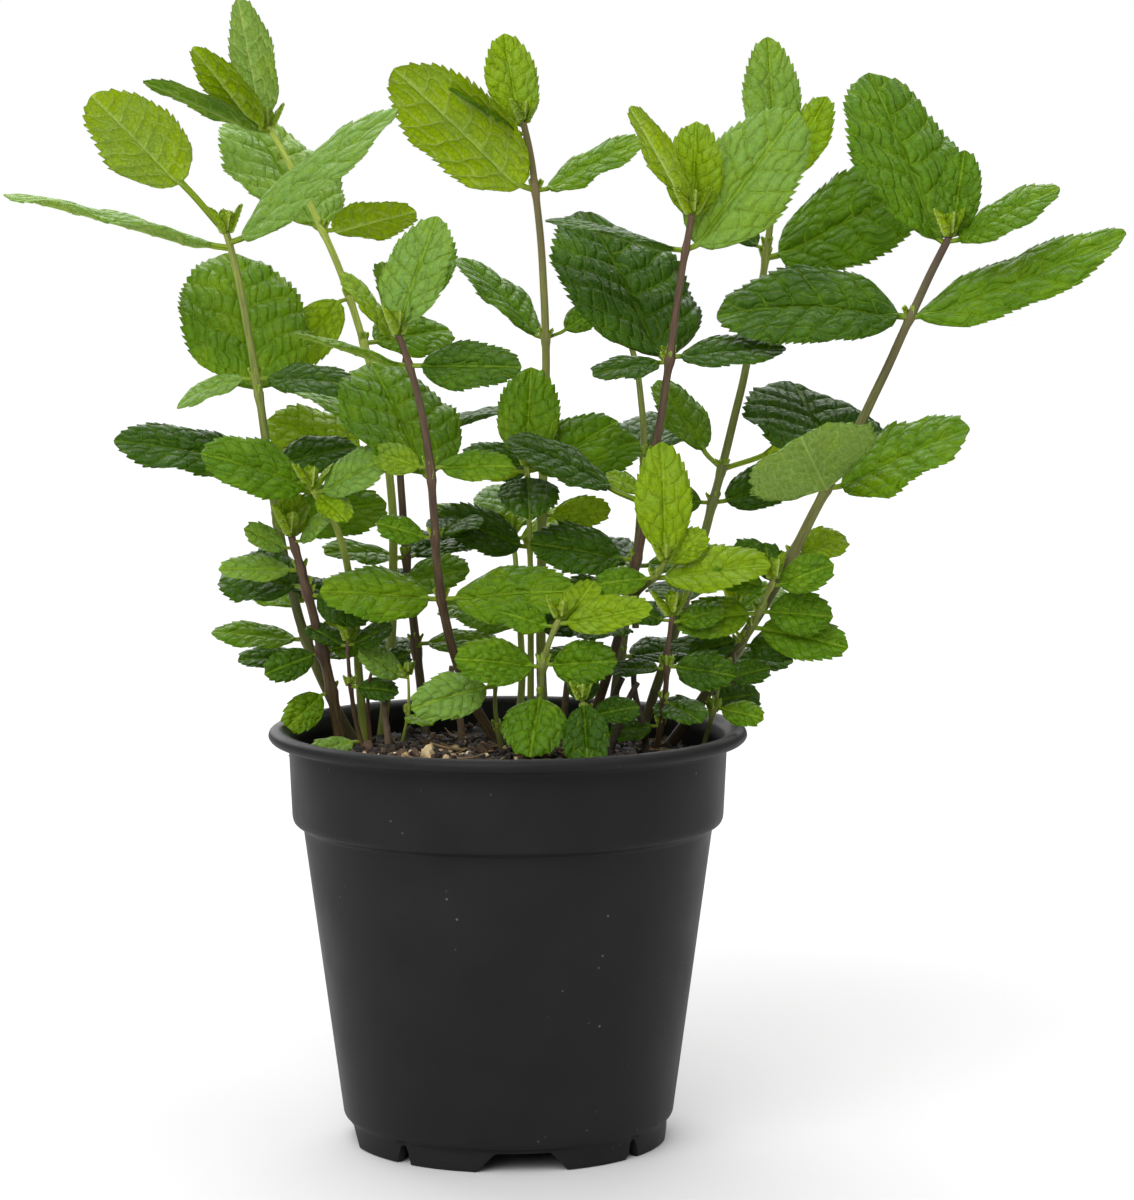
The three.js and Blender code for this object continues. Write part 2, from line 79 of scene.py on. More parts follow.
# ------------------------------------------------------------------ how the plant grows
# route: points that the stem passes at its foot, a third, two thirds and its top, in mm from the pot's axis
#        and the surface that the pot stands on.
# leaves and small: [place along the stem from 0 to 1, heading seen from above, rise above level, length with
#        its stalk, width, bend downwards along the leaf, roll about its midrib, the stalk's share, tone].
#        Angles are degrees, headings run anticlockwise from +X, and a positive roll lifts the side on the
#        left of the heading. A row in leaves stands for a leaf of the frame, and the other rows are small.
# The tones: deep green, partly old leaves and partly painted shade; green; lime, partly young growth and
# partly painted backlight; and silvery green, a painted sheen.
DEEP_AND_SHADED, GREEN, LIME_AND_BACKLIT, PAINTED_SHEEN = 0.0, 0.33, 0.67, 1.0
SHOOTS = {
    "left_tall": {
        "bark": "olive", "thickness": 2.6, "tip": 9,
        "route": [[-43, 26, 105], [-60, 18, 150], [-67, 6, 199], [-75, -2, 246]],
        "leaves": [
            [1.00, 203, 46, 51, 26, 8, 50, 0.34, LIME_AND_BACKLIT],
            [0.97, 180, 16, 60, 28, 4, 0, 0.05, PAINTED_SHEEN],
            [0.98, 345, 41, 57, 24, 6, 40, 0.04, PAINTED_SHEEN],
            [0.69, 104, 50, 54, 38, 12, 0, 0.04, GREEN],
            [0.56, 188, 14, 40, 22, 10, -30, 0.07, DEEP_AND_SHADED],
        ],
        "small": [
            [0.72, 190, -4, 21, 13, 40, 0, 0.05, PAINTED_SHEEN],
            [0.72, 350, 4, 27, 18, 20, 0, 0.05, DEEP_AND_SHADED],
            [0.22, 184, 8, 24, 13, 6, 0, 0.05, GREEN],
            [0.22, 20, 30, 11, 7, 8, 20, 0.05, LIME_AND_BACKLIT],
            [0.45, 20, 12, 30, 18, 12, 30, 0.05, GREEN],
            [0.56, 20, 14, 24, 15, 12, 20, 0.05, DEEP_AND_SHADED],
        ],
    },
    "left_pale": {
        "bark": "pale", "thickness": 2.4, "tip": 8,
        "route": [[-36, 34, 105], [-33, 42, 168], [-43, 46, 222], [-67, 42, 275]],
        "leaves": [
            [1.00, 172, 78, 35, 18, 0, 60, 0.04, PAINTED_SHEEN],
            [0.99, 190, 26, 36, 18, 6, 15, 0.05, GREEN],
            [0.82, 127, 44, 50, 38, 8, 0, 0.05, PAINTED_SHEEN],
            [0.41, 172, 24, 35, 22, 10, -40, 0.20, LIME_AND_BACKLIT],
        ],
        "small": [
            [0.99, 205, 50, 31, 17, 4, 40, 0.04, LIME_AND_BACKLIT],
            [0.82, 335, 14, 28, 17, 6, -60, 0.05, LIME_AND_BACKLIT],
            [0.70, 205, -45, 28, 16, 10, -30, 0.05, LIME_AND_BACKLIT],
            [0.62, 40, 10, 30, 20, 12, 20, 0.07, GREEN],
            [0.41, 20, 30, 20, 12, 8, 20, 0.20, GREEN],
            [0.20, 100, 14, 30, 18, 14, 0, 0.07, DEEP_AND_SHADED],
            [0.22, 330, 16, 22, 14, 14, 30, 0.07, GREEN],
        ],
    },
    "left_short": {
        "bark": "purple", "thickness": 2.8, "tip": 10,
        "route": [[-46, 14, 105], [-50, 7, 130], [-54, 0, 149], [-58, -6, 165]],
        "leaves": [],
        "small": [
            [0.98, 95, 62, 14, 10, 4, 0, 0.04, LIME_AND_BACKLIT],
            [0.97, 325, 42, 13, 10, 10, 30, 0.04, PAINTED_SHEEN],
            [0.93, 205, 30, 13, 9, 10, -30, 0.04, PAINTED_SHEEN],
            [0.80, 196, 6, 20, 10, 10, -20, 0.05, PAINTED_SHEEN],
            [0.70, 150, 12, 27, 20, 16, -20, 0.05, DEEP_AND_SHADED],
            [0.66, 330, -10, 18, 14, 20, 30, 0.05, DEEP_AND_SHADED],
            [0.38, 345, 20, 12, 9, 20, 30, 0.05, GREEN],
            [0.36, 205, -14, 15, 10, 16, -30, 0.05, DEEP_AND_SHADED],
            [0.20, 215, -36, 15, 10, 10, -40, 0.08, GREEN],
        ],
    },
    "left_curved": {
        "bark": "pale", "thickness": 2.2, "tip": 9,
        "route": [[-40, 20, 105], [-42, 12, 141], [-45, 2, 163], [-52, -10, 178]],
        "leaves": [
            [1.00, 202, 22, 31, 22, 12, -45, 0.05, GREEN],
        ],
        "small": [
            [0.98, 335, 30, 24, 14, 10, 40, 0.04, PAINTED_SHEEN],
            [0.97, 150, 44, 13, 9, 8, 0, 0.04, LIME_AND_BACKLIT],
            [0.96, 300, -14, 15, 9, 20, 10, 0.04, LIME_AND_BACKLIT],
            [0.40, 160, 20, 18, 12, 14, 0, 0.08, DEEP_AND_SHADED],
            [0.42, 340, 10, 17, 12, 14, 30, 0.08, GREEN],
        ],
    },
    "centre_purple": {
        "bark": "purple", "thickness": 2.5, "tip": 9,
        "route": [[-2, 12, 105], [-17, -5, 144], [-20, -20, 182], [-28, -32, 220]],
        "leaves": [
            [1.00, 42, 66, 33, 19, 6, 25, 0.04, PAINTED_SHEEN],
            [0.93, 190, 20, 29, 16, 6, 0, 0.04, GREEN],
            [0.66, 118, 46, 46, 35, 12, 0, 0.05, GREEN],
            [0.37, 197, 10, 31, 20, 14, -45, 0.05, GREEN],
            [0.37, 341, 10, 35, 20, 14, 45, 0.05, GREEN],
        ],
        "small": [
            [0.99, 150, 52, 23, 15, 6, 30, 0.04, LIME_AND_BACKLIT],
            [0.93, 342, 2, 28, 16, 8, 35, 0.05, DEEP_AND_SHADED],
            [0.69, 170, 18, 14, 9, 8, -40, 0.05, LIME_AND_BACKLIT],
            [0.69, 350, 4, 20, 10, 8, 30, 0.05, GREEN],
            [0.52, 70, 16, 24, 15, 12, 0, 0.07, DEEP_AND_SHADED],
            [0.52, 190, 20, 14, 9, 10, -30, 0.07, GREEN],
        ],
    },
    "centre_tall": {
        "bark": "pale_to_purple", "thickness": 2.6, "tip": 8,
        "route": [[10, 36, 105], [9, 42, 162], [10, 40, 219], [4, 30, 276]],
        "leaves": [
            [0.89, 190, 44, 50, 31, 6, 45, 0.04, LIME_AND_BACKLIT],
            [0.89, 352, 30, 31, 18, 6, 30, 0.05, GREEN],
            [0.65, 150, 46, 34, 24, 10, 0, 0.05, GREEN],
        ],
        "small": [
            [0.99, 125, 74, 27, 16, 0, 0, 0.03, LIME_AND_BACKLIT],
            [0.98, 205, 35, 24, 13, 8, 10, 0.03, GREEN],
            [0.65, 20, 35, 15, 9, 8, 20, 0.30, GREEN],
            [0.44, 20, 16, 28, 17, 10, 30, 0.07, GREEN],
            [0.44, 200, 12, 22, 14, 12, -30, 0.07, DEEP_AND_SHADED],
            [0.36, 350, 8, 17, 10, 8, 40, 0.05, LIME_AND_BACKLIT],
            [0.22, 100, 14, 28, 18, 14, 0, 0.07, DEEP_AND_SHADED],
            [0.22, 280, 16, 22, 15, 14, 0, 0.07, GREEN],
        ],
    },
    "centre_thin": {
        "bark": "pale", "thickness": 1.8, "tip": 7,
        "route": [[6, 20, 105], [6, 18, 132], [6, 12, 158], [5, 6, 183]],
        "leaves": [
            [1.00, 85, 62, 29, 18, 6, 0, 0.04, GREEN],
        ],
        "small": [
            [0.98, 28, 28, 30, 18, 8, 30, 0.04, GREEN],
            [0.98, 190, 6, 14, 8, 8, -30, 0.04, LIME_AND_BACKLIT],
            [0.96, 272, -16, 23, 17, 16, 0, 0.05, DEEP_AND_SHADED],
            [0.70, 200, 24, 26, 15, 8, -40, 0.05, DEEP_AND_SHADED],
            [0.70, 355, 2, 15, 9, 6, 10, 0.05, GREEN],
            [0.42, 330, 18, 22, 15, 14, 30, 0.07, DEEP_AND_SHADED],
            [0.42, 160, 14, 20, 14, 14, -20, 0.07, GREEN],
        ],
    },
    "right_purple": {
        "bark": "purple", "thickness": 2.5, "tip": 9,
        "route": [[20, 12, 105], [34, 2, 154], [42, -6, 204], [49, -12, 251]],
        "leaves": [
            [0.93, 20, 52, 48, 28, 6, 55, 0.04, PAINTED_SHEEN],
            [1.00, 166, 60, 32, 17, 4, 40, 0.05, LIME_AND_BACKLIT],
            [0.93, 186, 17, 36, 18, 8, 0, 0.04, DEEP_AND_SHADED],
            [0.72, 122, 50, 56, 44, 10, 0, 0.04, DEEP_AND_SHADED],
            [0.46, 190, 33, 40, 24, 14, -20, 0.24, DEEP_AND_SHADED],
        ],
        "small": [
            [0.99, 80, 74, 27, 16, 0, 0, 0.03, LIME_AND_BACKLIT],
            [0.73, 352, 8, 29, 18, 8, 5, 0.04, DEEP_AND_SHADED],
            [0.72, 205, -4, 20, 14, 10, 0, 0.04, DEEP_AND_SHADED],
            [0.36, 198, 14, 28, 18, 10, -25, 0.08, DEEP_AND_SHADED],
            [0.48, 150, 30, 12, 8, 8, 0, 0.05, LIME_AND_BACKLIT],
            [0.24, 250, 6, 24, 16, 16, 0, 0.07, DEEP_AND_SHADED],
            [0.24, 60, 14, 24, 16, 14, 0, 0.07, DEEP_AND_SHADED],
            [0.30, 215, 4, 20, 13, 14, -30, 0.07, GREEN],
        ],
    },
    "right_side": {
        "bark": "olive", "thickness": 1.7, "tip": 6,
        "route": [[34.5, -3, 149], [37, -8, 152], [40, -12, 155], [42, -15, 159]],
        "leaves": [
            [1.00, 100, 80, 31, 16, 0, 0, 0.05, LIME_AND_BACKLIT],
            [0.60, 343, 12, 30, 17, 10, 40, 0.04, LIME_AND_BACKLIT],
        ],
        "small": [
            [0.97, 15, 44, 13, 9, 8, 30, 0.04, LIME_AND_BACKLIT],
            [0.60, 205, 0, 15, 9, 14, -30, 0.05, GREEN],
        ],
    },
    "right_olive": {
        "bark": "olive", "thickness": 2.5, "tip": 9,
        "route": [[36, 26, 105], [55, 34, 165], [67, 40, 214], [74, 38, 262]],
        "leaves": [
            [1.00, 110, 79, 37, 18, 0, 0, 0.04, PAINTED_SHEEN],
            [0.84, 340, 28, 54, 33, 8, 54, 0.04, GREEN],
        ],
        "small": [
            [0.99, 15, 62, 26, 15, 4, 20, 0.04, LIME_AND_BACKLIT],
            [0.99, 150, 58, 18, 10, 6, 0, 0.04, DEEP_AND_SHADED],
            [0.86, 158, 42, 21, 14, 8, 0, 0.05, DEEP_AND_SHADED],
            [0.43, 140, 52, 32, 16, 6, 0, 0.22, GREEN],
            [0.43, 15, 22, 38, 26, 8, -50, 0.28, LIME_AND_BACKLIT],
            [0.37, 15, 20, 26, 15, 10, 30, 0.07, DEEP_AND_SHADED],
            [0.37, 195, 12, 20, 13, 12, -30, 0.07, DEEP_AND_SHADED],
            [0.20, 95, 14, 28, 18, 14, 0, 0.07, DEEP_AND_SHADED],
        ],
    },
    "right_tall": {
        "bark": "olive_to_purple", "thickness": 2.8, "tip": 9,
        "route": [[44, 16, 105], [77, 0, 160], [102, -8, 212], [117, -12, 245]],
        "leaves": [
            [0.97, 127, 62, 54, 36, 8, 0, 0.03, GREEN],
            [0.98, 342, 30, 31, 20, 6, 30, 0.04, GREEN],
            [0.76, 350, 19, 59, 22, -10, 45, 0.02, GREEN],
            [0.76, 186, 14, 50, 31, 36, -40, 0.03, DEEP_AND_SHADED],
            [0.48, 105, 32, 41, 42, 6, 6, 0.04, DEEP_AND_SHADED],
            [0.44, 340, 28, 40, 28, 8, 40, 0.05, GREEN],
            [0.44, 256, 24, 36, 38, -6, 30, 0.05, PAINTED_SHEEN],
        ],
        "small": [
            [0.99, 60, 72, 25, 13, 4, 0, 0.03, GREEN],
            [0.33, 20, 25, 15, 12, 20, 20, 0.05, LIME_AND_BACKLIT],
            [0.32, 200, 22, 14, 10, 10, -20, 0.05, DEEP_AND_SHADED],
            [0.18, 330, 12, 20, 14, 14, 30, 0.07, DEEP_AND_SHADED],
            [0.17, 150, 10, 18, 12, 14, 0, 0.07, DEEP_AND_SHADED],
            [0.08, 20, 10, 16, 12, 14, 30, 0.08, DEEP_AND_SHADED],
        ],
    },
    "right_tall_side": {
        "bark": "olive", "thickness": 1.6, "tip": 8,
        "route": [[61, 3, 133], [65, -4, 139], [68, -9, 146], [71, -14, 154]],
        "leaves": [],
        "small": [
            [0.98, 100, 56, 12, 9, 4, 0, 0.04, DEEP_AND_SHADED],
            [0.94, 350, 24, 16, 11, 10, 40, 0.04, GREEN],
            [0.93, 200, 18, 15, 10, 10, -40, 0.04, GREEN],
            [0.60, 190, -4, 21, 13, 14, -40, 0.05, GREEN],
            [0.62, 345, 0, 18, 13, 14, 40, 0.05, GREEN],
            [0.40, 342, -8, 25, 14, 10, 35, 0.05, GREEN],
            [0.20, 200, -10, 14, 9, 14, -30, 0.05, DEEP_AND_SHADED],
        ],
    },
    "front_low": {
        "bark": "olive", "thickness": 2.0, "tip": 7,
        "route": [[8, -18, 105], [9, -21, 123], [10, -24, 134], [14, -27, 145]],
        "leaves": [
            [0.60, 198, 12, 22, 15, 16, -50, 0.05, GREEN],
        ],
        "small": [
            [0.62, 332, 8, 19, 13, 14, 45, 0.05, GREEN],
            [0.97, 345, 14, 24, 12, 8, 35, 0.04, LIME_AND_BACKLIT],
            [0.98, 40, 44, 15, 10, 6, 20, 0.04, LIME_AND_BACKLIT],
            [0.95, 190, 20, 13, 9, 10, -40, 0.04, GREEN],
            [0.35, 262, -30, 21, 18, 20, 0, 0.04, GREEN],
        ],
    },
    "back_left": {
        "bark": "purple", "thickness": 2.4, "tip": 9,
        "route": [[-24, 44, 105], [-29, 58, 145], [-32, 70, 184], [-28, 80, 222]],
        "leaves": [
            [1.00, 80, 50, 34, 20, 10, 0, 0.04, GREEN],
            [0.70, 140, 24, 42, 26, 14, 0, 0.07, GREEN],
            [0.68, 15, 22, 40, 25, 14, 0, 0.07, DEEP_AND_SHADED],
        ],
        "small": [
            [0.98, 240, 55, 22, 14, 6, 0, 0.04, GREEN],
            [0.40, 60, 14, 32, 21, 16, 0, 0.07, DEEP_AND_SHADED],
            [0.40, 220, 14, 26, 17, 16, 0, 0.07, GREEN],
            [0.18, 140, 8, 24, 16, 16, 0, 0.07, DEEP_AND_SHADED],
            [0.20, 350, 10, 22, 15, 16, 0, 0.07, GREEN],
        ],
    },
    "back_right": {
        "bark": "olive", "thickness": 2.4, "tip": 9,
        "route": [[28, 42, 105], [34, 57, 143], [38, 70, 180], [34, 82, 214]],
        "leaves": [
            [1.00, 95, 46, 36, 21, 12, 0, 0.04, GREEN],
            [0.68, 75, 20, 40, 26, 14, 0, 0.07, DEEP_AND_SHADED],
        ],
        "small": [
            [0.98, 275, 60, 20, 13, 6, 0, 0.04, LIME_AND_BACKLIT],
            [0.68, 200, 24, 30, 20, 14, 0, 0.07, GREEN],
            [0.40, 120, 14, 32, 20, 16, 0, 0.07, DEEP_AND_SHADED],
            [0.40, 350, 12, 28, 18, 16, 0, 0.07, GREEN],
            [0.18, 30, 8, 24, 16, 16, 0, 0.07, DEEP_AND_SHADED],
            [0.18, 200, 8, 20, 14, 16, 0, 0.07, GREEN],
        ],
    },
    "back_low": {
        "bark": "pale", "thickness": 2.0, "tip": 8,
        "route": [[2, 48, 105], [3, 60, 124], [2, 70, 142], [0, 78, 158]],
        "leaves": [
            [1.00, 92, 26, 36, 22, 16, 0, 0.05, GREEN],
        ],
        "small": [
            [0.97, 190, 30, 24, 16, 10, 0, 0.04, GREEN],
            [0.97, 350, 30, 24, 16, 10, 0, 0.04, LIME_AND_BACKLIT],
            [0.55, 60, 10, 28, 18, 16, 0, 0.07, DEEP_AND_SHADED],
            [0.55, 150, 10, 26, 17, 16, 0, 0.07, GREEN],
        ],
    },
}

# Low sprigs: short stems near the soil that carry a few small leaves, in the same form.
SPRIGS = {
    "sprig_left": {
        "bark": "purple", "thickness": 1.3, "tip": 7,
        "route": [[-39, 8, 104], [-42, 5, 116], [-43, 1, 127], [-43, -2, 136]],
        "small": [
            [0.97, 330, 30, 13, 10, 14, 30, 0.05, DEEP_AND_SHADED],
            [0.95, 160, 30, 12, 9, 12, 0, 0.05, DEEP_AND_SHADED],
            [0.55, 340, 0, 12, 8, 20, 30, 0.07, DEEP_AND_SHADED],
            [0.10, 210, -4, 14, 10, 10, 0, 0.08, PAINTED_SHEEN],
        ],
    },
    "sprig_left_pair": {
        "bark": "purple", "thickness": 1.1, "tip": 5,
        "route": [[-38, 10, 104], [-38, 6, 114], [-38, 3, 122], [-36, 0, 129]],
        "small": [
            [0.96, 20, 30, 10, 8, 14, 20, 0.05, DEEP_AND_SHADED],
        ],
    },
    "sprig_pale": {
        "bark": "pale", "thickness": 1.0, "tip": 4,
        "route": [[-30, 10, 104], [-28, 4, 112], [-27, 0, 119], [-27, -3, 127]],
        "small": [
            [0.98, 190, 38, 14, 10, 14, -30, 0.05, PAINTED_SHEEN],
            [0.50, 300, 6, 12, 9, 20, 0, 0.07, GREEN],
        ],
    },
    "sprig_front": {
        "bark": "olive", "thickness": 1.4, "tip": 6,
        "route": [[-1, -12, 104], [-2, -15, 112], [-3, -18, 120], [-3, -20, 127]],
        "small": [
            [0.96, 206, -6, 22, 15, 26, -30, 0.05, PAINTED_SHEEN],
            [0.40, 330, 4, 14, 10, 20, 30, 0.07, GREEN],
        ],
    },
    "sprig_rim": {
        "bark": "purple", "thickness": 1.4, "tip": 6,
        "route": [[19, -22, 104], [20, -26, 110], [21, -29, 117], [20, -32, 124]],
        "small": [
            [0.98, 275, -52, 20, 13, 14, 10, 0.05, DEEP_AND_SHADED],
            [0.96, 90, 40, 12, 9, 12, 0, 0.05, DEEP_AND_SHADED],
            [0.80, 20, 10, 14, 9, 14, 30, 0.07, DEEP_AND_SHADED],
        ],
    },
    "sprig_right": {
        "bark": "purple", "thickness": 1.6, "tip": 9,
        "route": [[40, 2, 104], [42, -5, 119], [43, -9, 132], [44, -12, 144]],
        "small": [
            [0.97, 190, 24, 13, 10, 14, -20, 0.05, DEEP_AND_SHADED],
            [0.96, 350, 20, 13, 9, 14, 30, 0.05, GREEN],
            [0.62, 340, -2, 17, 13, 18, 30, 0.05, DEEP_AND_SHADED],
            [0.60, 170, 4, 15, 11, 16, 0, 0.05, DEEP_AND_SHADED],
            [0.36, 300, -4, 16, 12, 20, 10, 0.07, DEEP_AND_SHADED],
            [0.20, 200, 0, 13, 10, 20, -10, 0.08, DEEP_AND_SHADED],
        ],
    },
    "sprig_right_rim": {
        "bark": "olive", "thickness": 1.3, "tip": 6,
        "route": [[52, 0, 104], [54, -3, 112], [56, -5, 120], [57, -6, 127]],
        "small": [
            [0.97, 10, 16, 13, 9, 14, 20, 0.05, DEEP_AND_SHADED],
            [0.60, 330, -4, 13, 9, 16, 20, 0.07, GREEN],
            [0.55, 170, 10, 15, 11, 14, 0, 0.07, DEEP_AND_SHADED],
        ],
    },
    "sprig_back_left": {
        "bark": "purple", "thickness": 1.4, "tip": 8,
        "route": [[-46, 34, 104], [-52, 40, 118], [-57, 44, 130], [-60, 48, 141]],
        "small": [
            [0.97, 130, 20, 22, 15, 14, 0, 0.05, GREEN],
            [0.55, 200, 8, 20, 14, 16, 0, 0.07, DEEP_AND_SHADED],
            [0.55, 60, 10, 20, 14, 16, 0, 0.07, DEEP_AND_SHADED],
        ],
    },
    "sprig_back_right": {
        "bark": "purple", "thickness": 1.4, "tip": 8,
        "route": [[48, 32, 104], [55, 38, 118], [60, 42, 130], [63, 46, 140]],
        "small": [
            [0.97, 50, 20, 22, 15, 14, 0, 0.05, GREEN],
            [0.55, 340, 8, 20, 14, 16, 0, 0.07, DEEP_AND_SHADED],
            [0.55, 110, 10, 20, 14, 16, 0, 0.07, DEEP_AND_SHADED],
        ],
    },
}

# Dry and cut stems that stand among the living ones, as [foot x, foot y, top x, top y, top z].
DRY_STEMS = [
    [22, -2, 31, -8, 127],
    [24, -6, 35, -10, 126],
    [37, 0, 34, -6, 128],
    [-34, 4, -33, 1, 121],
    [12, 30, 18, 24, 130],
    [-14, 30, -16, 26, 126],
]

# Each row of a leaf becomes a tuple with named values, in the order given above.
Leaf = namedtuple("Leaf", "place heading rise length width bend roll stalk tone")
for shoot in (*SHOOTS.values(), *SPRIGS.values()):
    for size in ("leaves", "small"):
        shoot[size] = [Leaf(*row) for row in shoot.get(size, [])]


# ------------------------------------------------------------------ small tools
def linear(hex_colour):
    """sRGB hex to the linear colour that Blender uses."""
    channels = [int(hex_colour[i:i + 2], 16) / 255 for i in (1, 3, 5)]
    return tuple(c / 12.92 if c <= 0.04045 else ((c + 0.055) / 1.055) ** 2.4 for c in channels)


def rgba(hex_colour):
    """The linear colour with a full alpha."""
    return (*linear(hex_colour), 1)


def smooth(x, low, high):
    """0 below low, 1 above high, and a smooth S between them."""
    t = np.clip((x - low) / (high - low), 0.0, 1.0)
    return t * t * (3 - 2 * t)


def unit(vectors):
    """Each vector divided by its length."""
    return vectors / np.maximum(np.linalg.norm(vectors, axis=-1, keepdims=True), 1e-12)


def lumps(points, size, seed, octaves=3):
    """Soft noise, about -1 to 1: a sum of sines along random directions. Each octave is half the last."""
    random = np.random.default_rng(seed)
    total = np.zeros(points.shape[:-1])
    for octave in range(octaves):
        directions = unit(random.normal(size=(7, points.shape[-1])))
        phases = random.uniform(0, 2 * np.pi, 7)
        waves = np.sin(points @ directions.T * (2 * np.pi * 2 ** octave / size) + phases)
        total += waves.sum(-1) / 3.5 * 0.5 ** octave
    return total / 1.6


def tube_faces(rows, columns):
    """Faces of closed rings carried along a path, with a pole point at either end, facing outwards."""
    row, column = np.meshgrid(np.arange(rows - 1), np.arange(columns), indexing="ij")
    here = row * columns + column
    beside = row * columns + (column + 1) % columns
    quads = np.stack([here, beside, beside + columns, here + columns], -1).reshape(-1, 4)
    around = np.arange(columns)
    after = (around + 1) % columns
    foot, top = rows * columns, rows * columns + 1
    last = (rows - 1) * columns
    foot_fan = np.stack([np.full(columns, foot), after, around], -1)
    top_fan = np.stack([np.full(columns, top), last + around, last + after], -1)
    return quads, np.concatenate([foot_fan, top_fan])


def tube_uvs(rows, columns):
    """The corners' places on the map, in the order of tube_faces: once round the tube is the map's width, and
    the path is its height."""
    row, column = np.meshgrid(np.arange(rows - 1), np.arange(columns), indexing="ij")
    u = np.stack([column, column + 1, column + 1, column], -1) / columns
    v = (np.stack([row, row, row + 1, row + 1], -1) + 1) / (rows + 1)
    around = np.arange(columns) / columns
    step, last = 1 / columns, rows / (rows + 1)
    foot_u = np.stack([around + step / 2, around + step, around], -1)
    top_u = np.stack([around + step / 2, around, around + step], -1)
    foot_v = np.tile([0, 1 - last, 1 - last], (columns, 1))
    top_v = np.tile([1, last, last], (columns, 1))
    quad_uv = np.stack([u, v], -1).reshape(-1, 2)
    fan_uv = np.stack([np.concatenate([foot_u, top_u]), np.concatenate([foot_v, top_v])], -1).reshape(-1, 2)
    return quad_uv, fan_uv


class Shape:
    """Closed shapes gathered into one mesh: points in mm, faces, map corners and values for each point."""

    def __init__(self):
        self.points, self.quads, self.triangles, self.uvs = [], [], [], []
        self.values = {}
        self.count = 0

    def add(self, points, quads, triangles, uvs=None, **values):
        self.points.append(points)
        self.quads.append(np.asarray(quads, int).reshape(-1, 4) + self.count)
        self.triangles.append(np.asarray(triangles, int).reshape(-1, 3) + self.count)
        self.uvs.append(uvs)
        for key, value in values.items():
            self.values.setdefault(key, []).append(np.broadcast_to(value, (len(points), 3)))
        self.count += len(points)

    def add_tube(self, rings, foot, top, **values):
        """rings is (rows, columns, 3), and each value is (rows, columns, 3) or one row of three for all."""
        rows, columns = rings.shape[:2]
        quads, fans = tube_faces(rows, columns)
        points = np.concatenate([rings.reshape(-1, 3), [foot], [top]])
        full = {}
        for key, value in values.items():
            value = np.broadcast_to(value, (rows, columns, 3))
            full[key] = np.concatenate([value.reshape(-1, 3), [value[0].mean(0)], [value[-1].mean(0)]])
        self.add(points, quads, fans, tube_uvs(rows, columns), **full)

    def map_corners(self):
        """The map's corners: each tube has a square cell of its own, in a grid that fills the map."""
        side = math.ceil(math.sqrt(len(self.uvs)))
        quads, fans = [], []
        for i, (quad_uv, fan_uv) in enumerate(self.uvs):
            cell = np.array([i % side, i // side])
            quads.append((cell + 0.02 + 0.96 * quad_uv) / side)
            fans.append((cell + 0.02 + 0.96 * fan_uv) / side)
        return np.concatenate(quads + fans)


def mesh_from(shape, name, material):
    """A Blender mesh of a gathered shape, set round the pot's axis, with its values and its map."""
    mesh = bpy.data.meshes.new(name)
    points = np.concatenate(shape.points) * MM + POT_AXIS
    quads, triangles = np.concatenate(shape.quads), np.concatenate(shape.triangles)
    mesh.vertices.add(len(points))
    mesh.vertices.foreach_set("co", points.ravel())
    corners = np.concatenate([quads.ravel(), triangles.ravel()])
    starts = np.concatenate([np.arange(len(quads)) * 4, len(quads) * 4 + np.arange(len(triangles)) * 3])
    mesh.loops.add(len(corners))
    mesh.loops.foreach_set("vertex_index", corners)
    mesh.polygons.add(len(starts))
    mesh.polygons.foreach_set("loop_start", starts)
    mesh.update(calc_edges=True)
    for key, parts in shape.values.items():
        layer = mesh.attributes.new(key, "FLOAT_VECTOR", "POINT")
        layer.data.foreach_set("vector", np.concatenate(parts).astype(np.float32).ravel())
    if all(uvs is not None for uvs in shape.uvs):
        uv_map = mesh.uv_layers.new(name=UV_NAME)
        uv_map.data.foreach_set("uv", shape.map_corners().astype(np.float32).ravel())
    mesh.materials.append(material)
    return mesh


def make_piece(name, shape, material, crease=50, replaced=(), finish=None):
    """A new object at the origin that rides on the frame's one body. finish, where it is given, changes the
    object before its faces are made smooth."""
    piece = bpy.data.objects.new(name, mesh_from(shape, name, material))
    bpy.context.scene.collection.objects.link(piece)
    if finish:
        finish(piece)
    mesh = piece.data
    mesh.polygons.foreach_set("use_smooth", np.ones(len(mesh.polygons), bool))
    mesh.set_sharp_from_angle(angle=math.radians(crease))
    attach(piece, "root")
    if replaced:
        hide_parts(*replaced)


# ------------------------------------------------------------------ shoots
def stem_point(route, t):
    """The cubic curve through the route's four points, at places t from 0 to 1."""
    places = np.array([0, 1 / 3, 2 / 3, 1])
    t = np.atleast_1d(np.asarray(t, float))[:, None]
    total = 0
    for i, point in enumerate(np.asarray(route, float)):
        others = np.delete(places, i)
        total = total + np.prod((t - others) / (places[i] - others), axis=1)[:, None] * point
    return total


def stem_direction(route, t):
    """The curve's direction, from two points close by."""
    step = 1e-3
    return unit(stem_point(route, np.asarray(t) + step) - stem_point(route, np.asarray(t) - step))


def stem_rings(path, radius, columns=20, squareness=3.4):
    """Rings carried upright along the path. The section is a square with soft corners: its radius is
    (|cos|^n + |sin|^n)^(-1/n), where n is the squareness."""
    along = unit(np.gradient(path, axis=0))
    side = unit(np.cross([0, 1, 0], along))
    front = np.cross(along, side)
    angle = np.arange(columns) / columns * 2 * np.pi
    bulge = (np.abs(np.cos(angle)) ** squareness + np.abs(np.sin(angle)) ** squareness) ** (-1 / squareness)
    spread = radius[:, None] * bulge
    across = side[:, None] * (spread * np.cos(angle))[..., None]
    return path[:, None] + across + front[:, None] * (spread * np.sin(angle))[..., None]


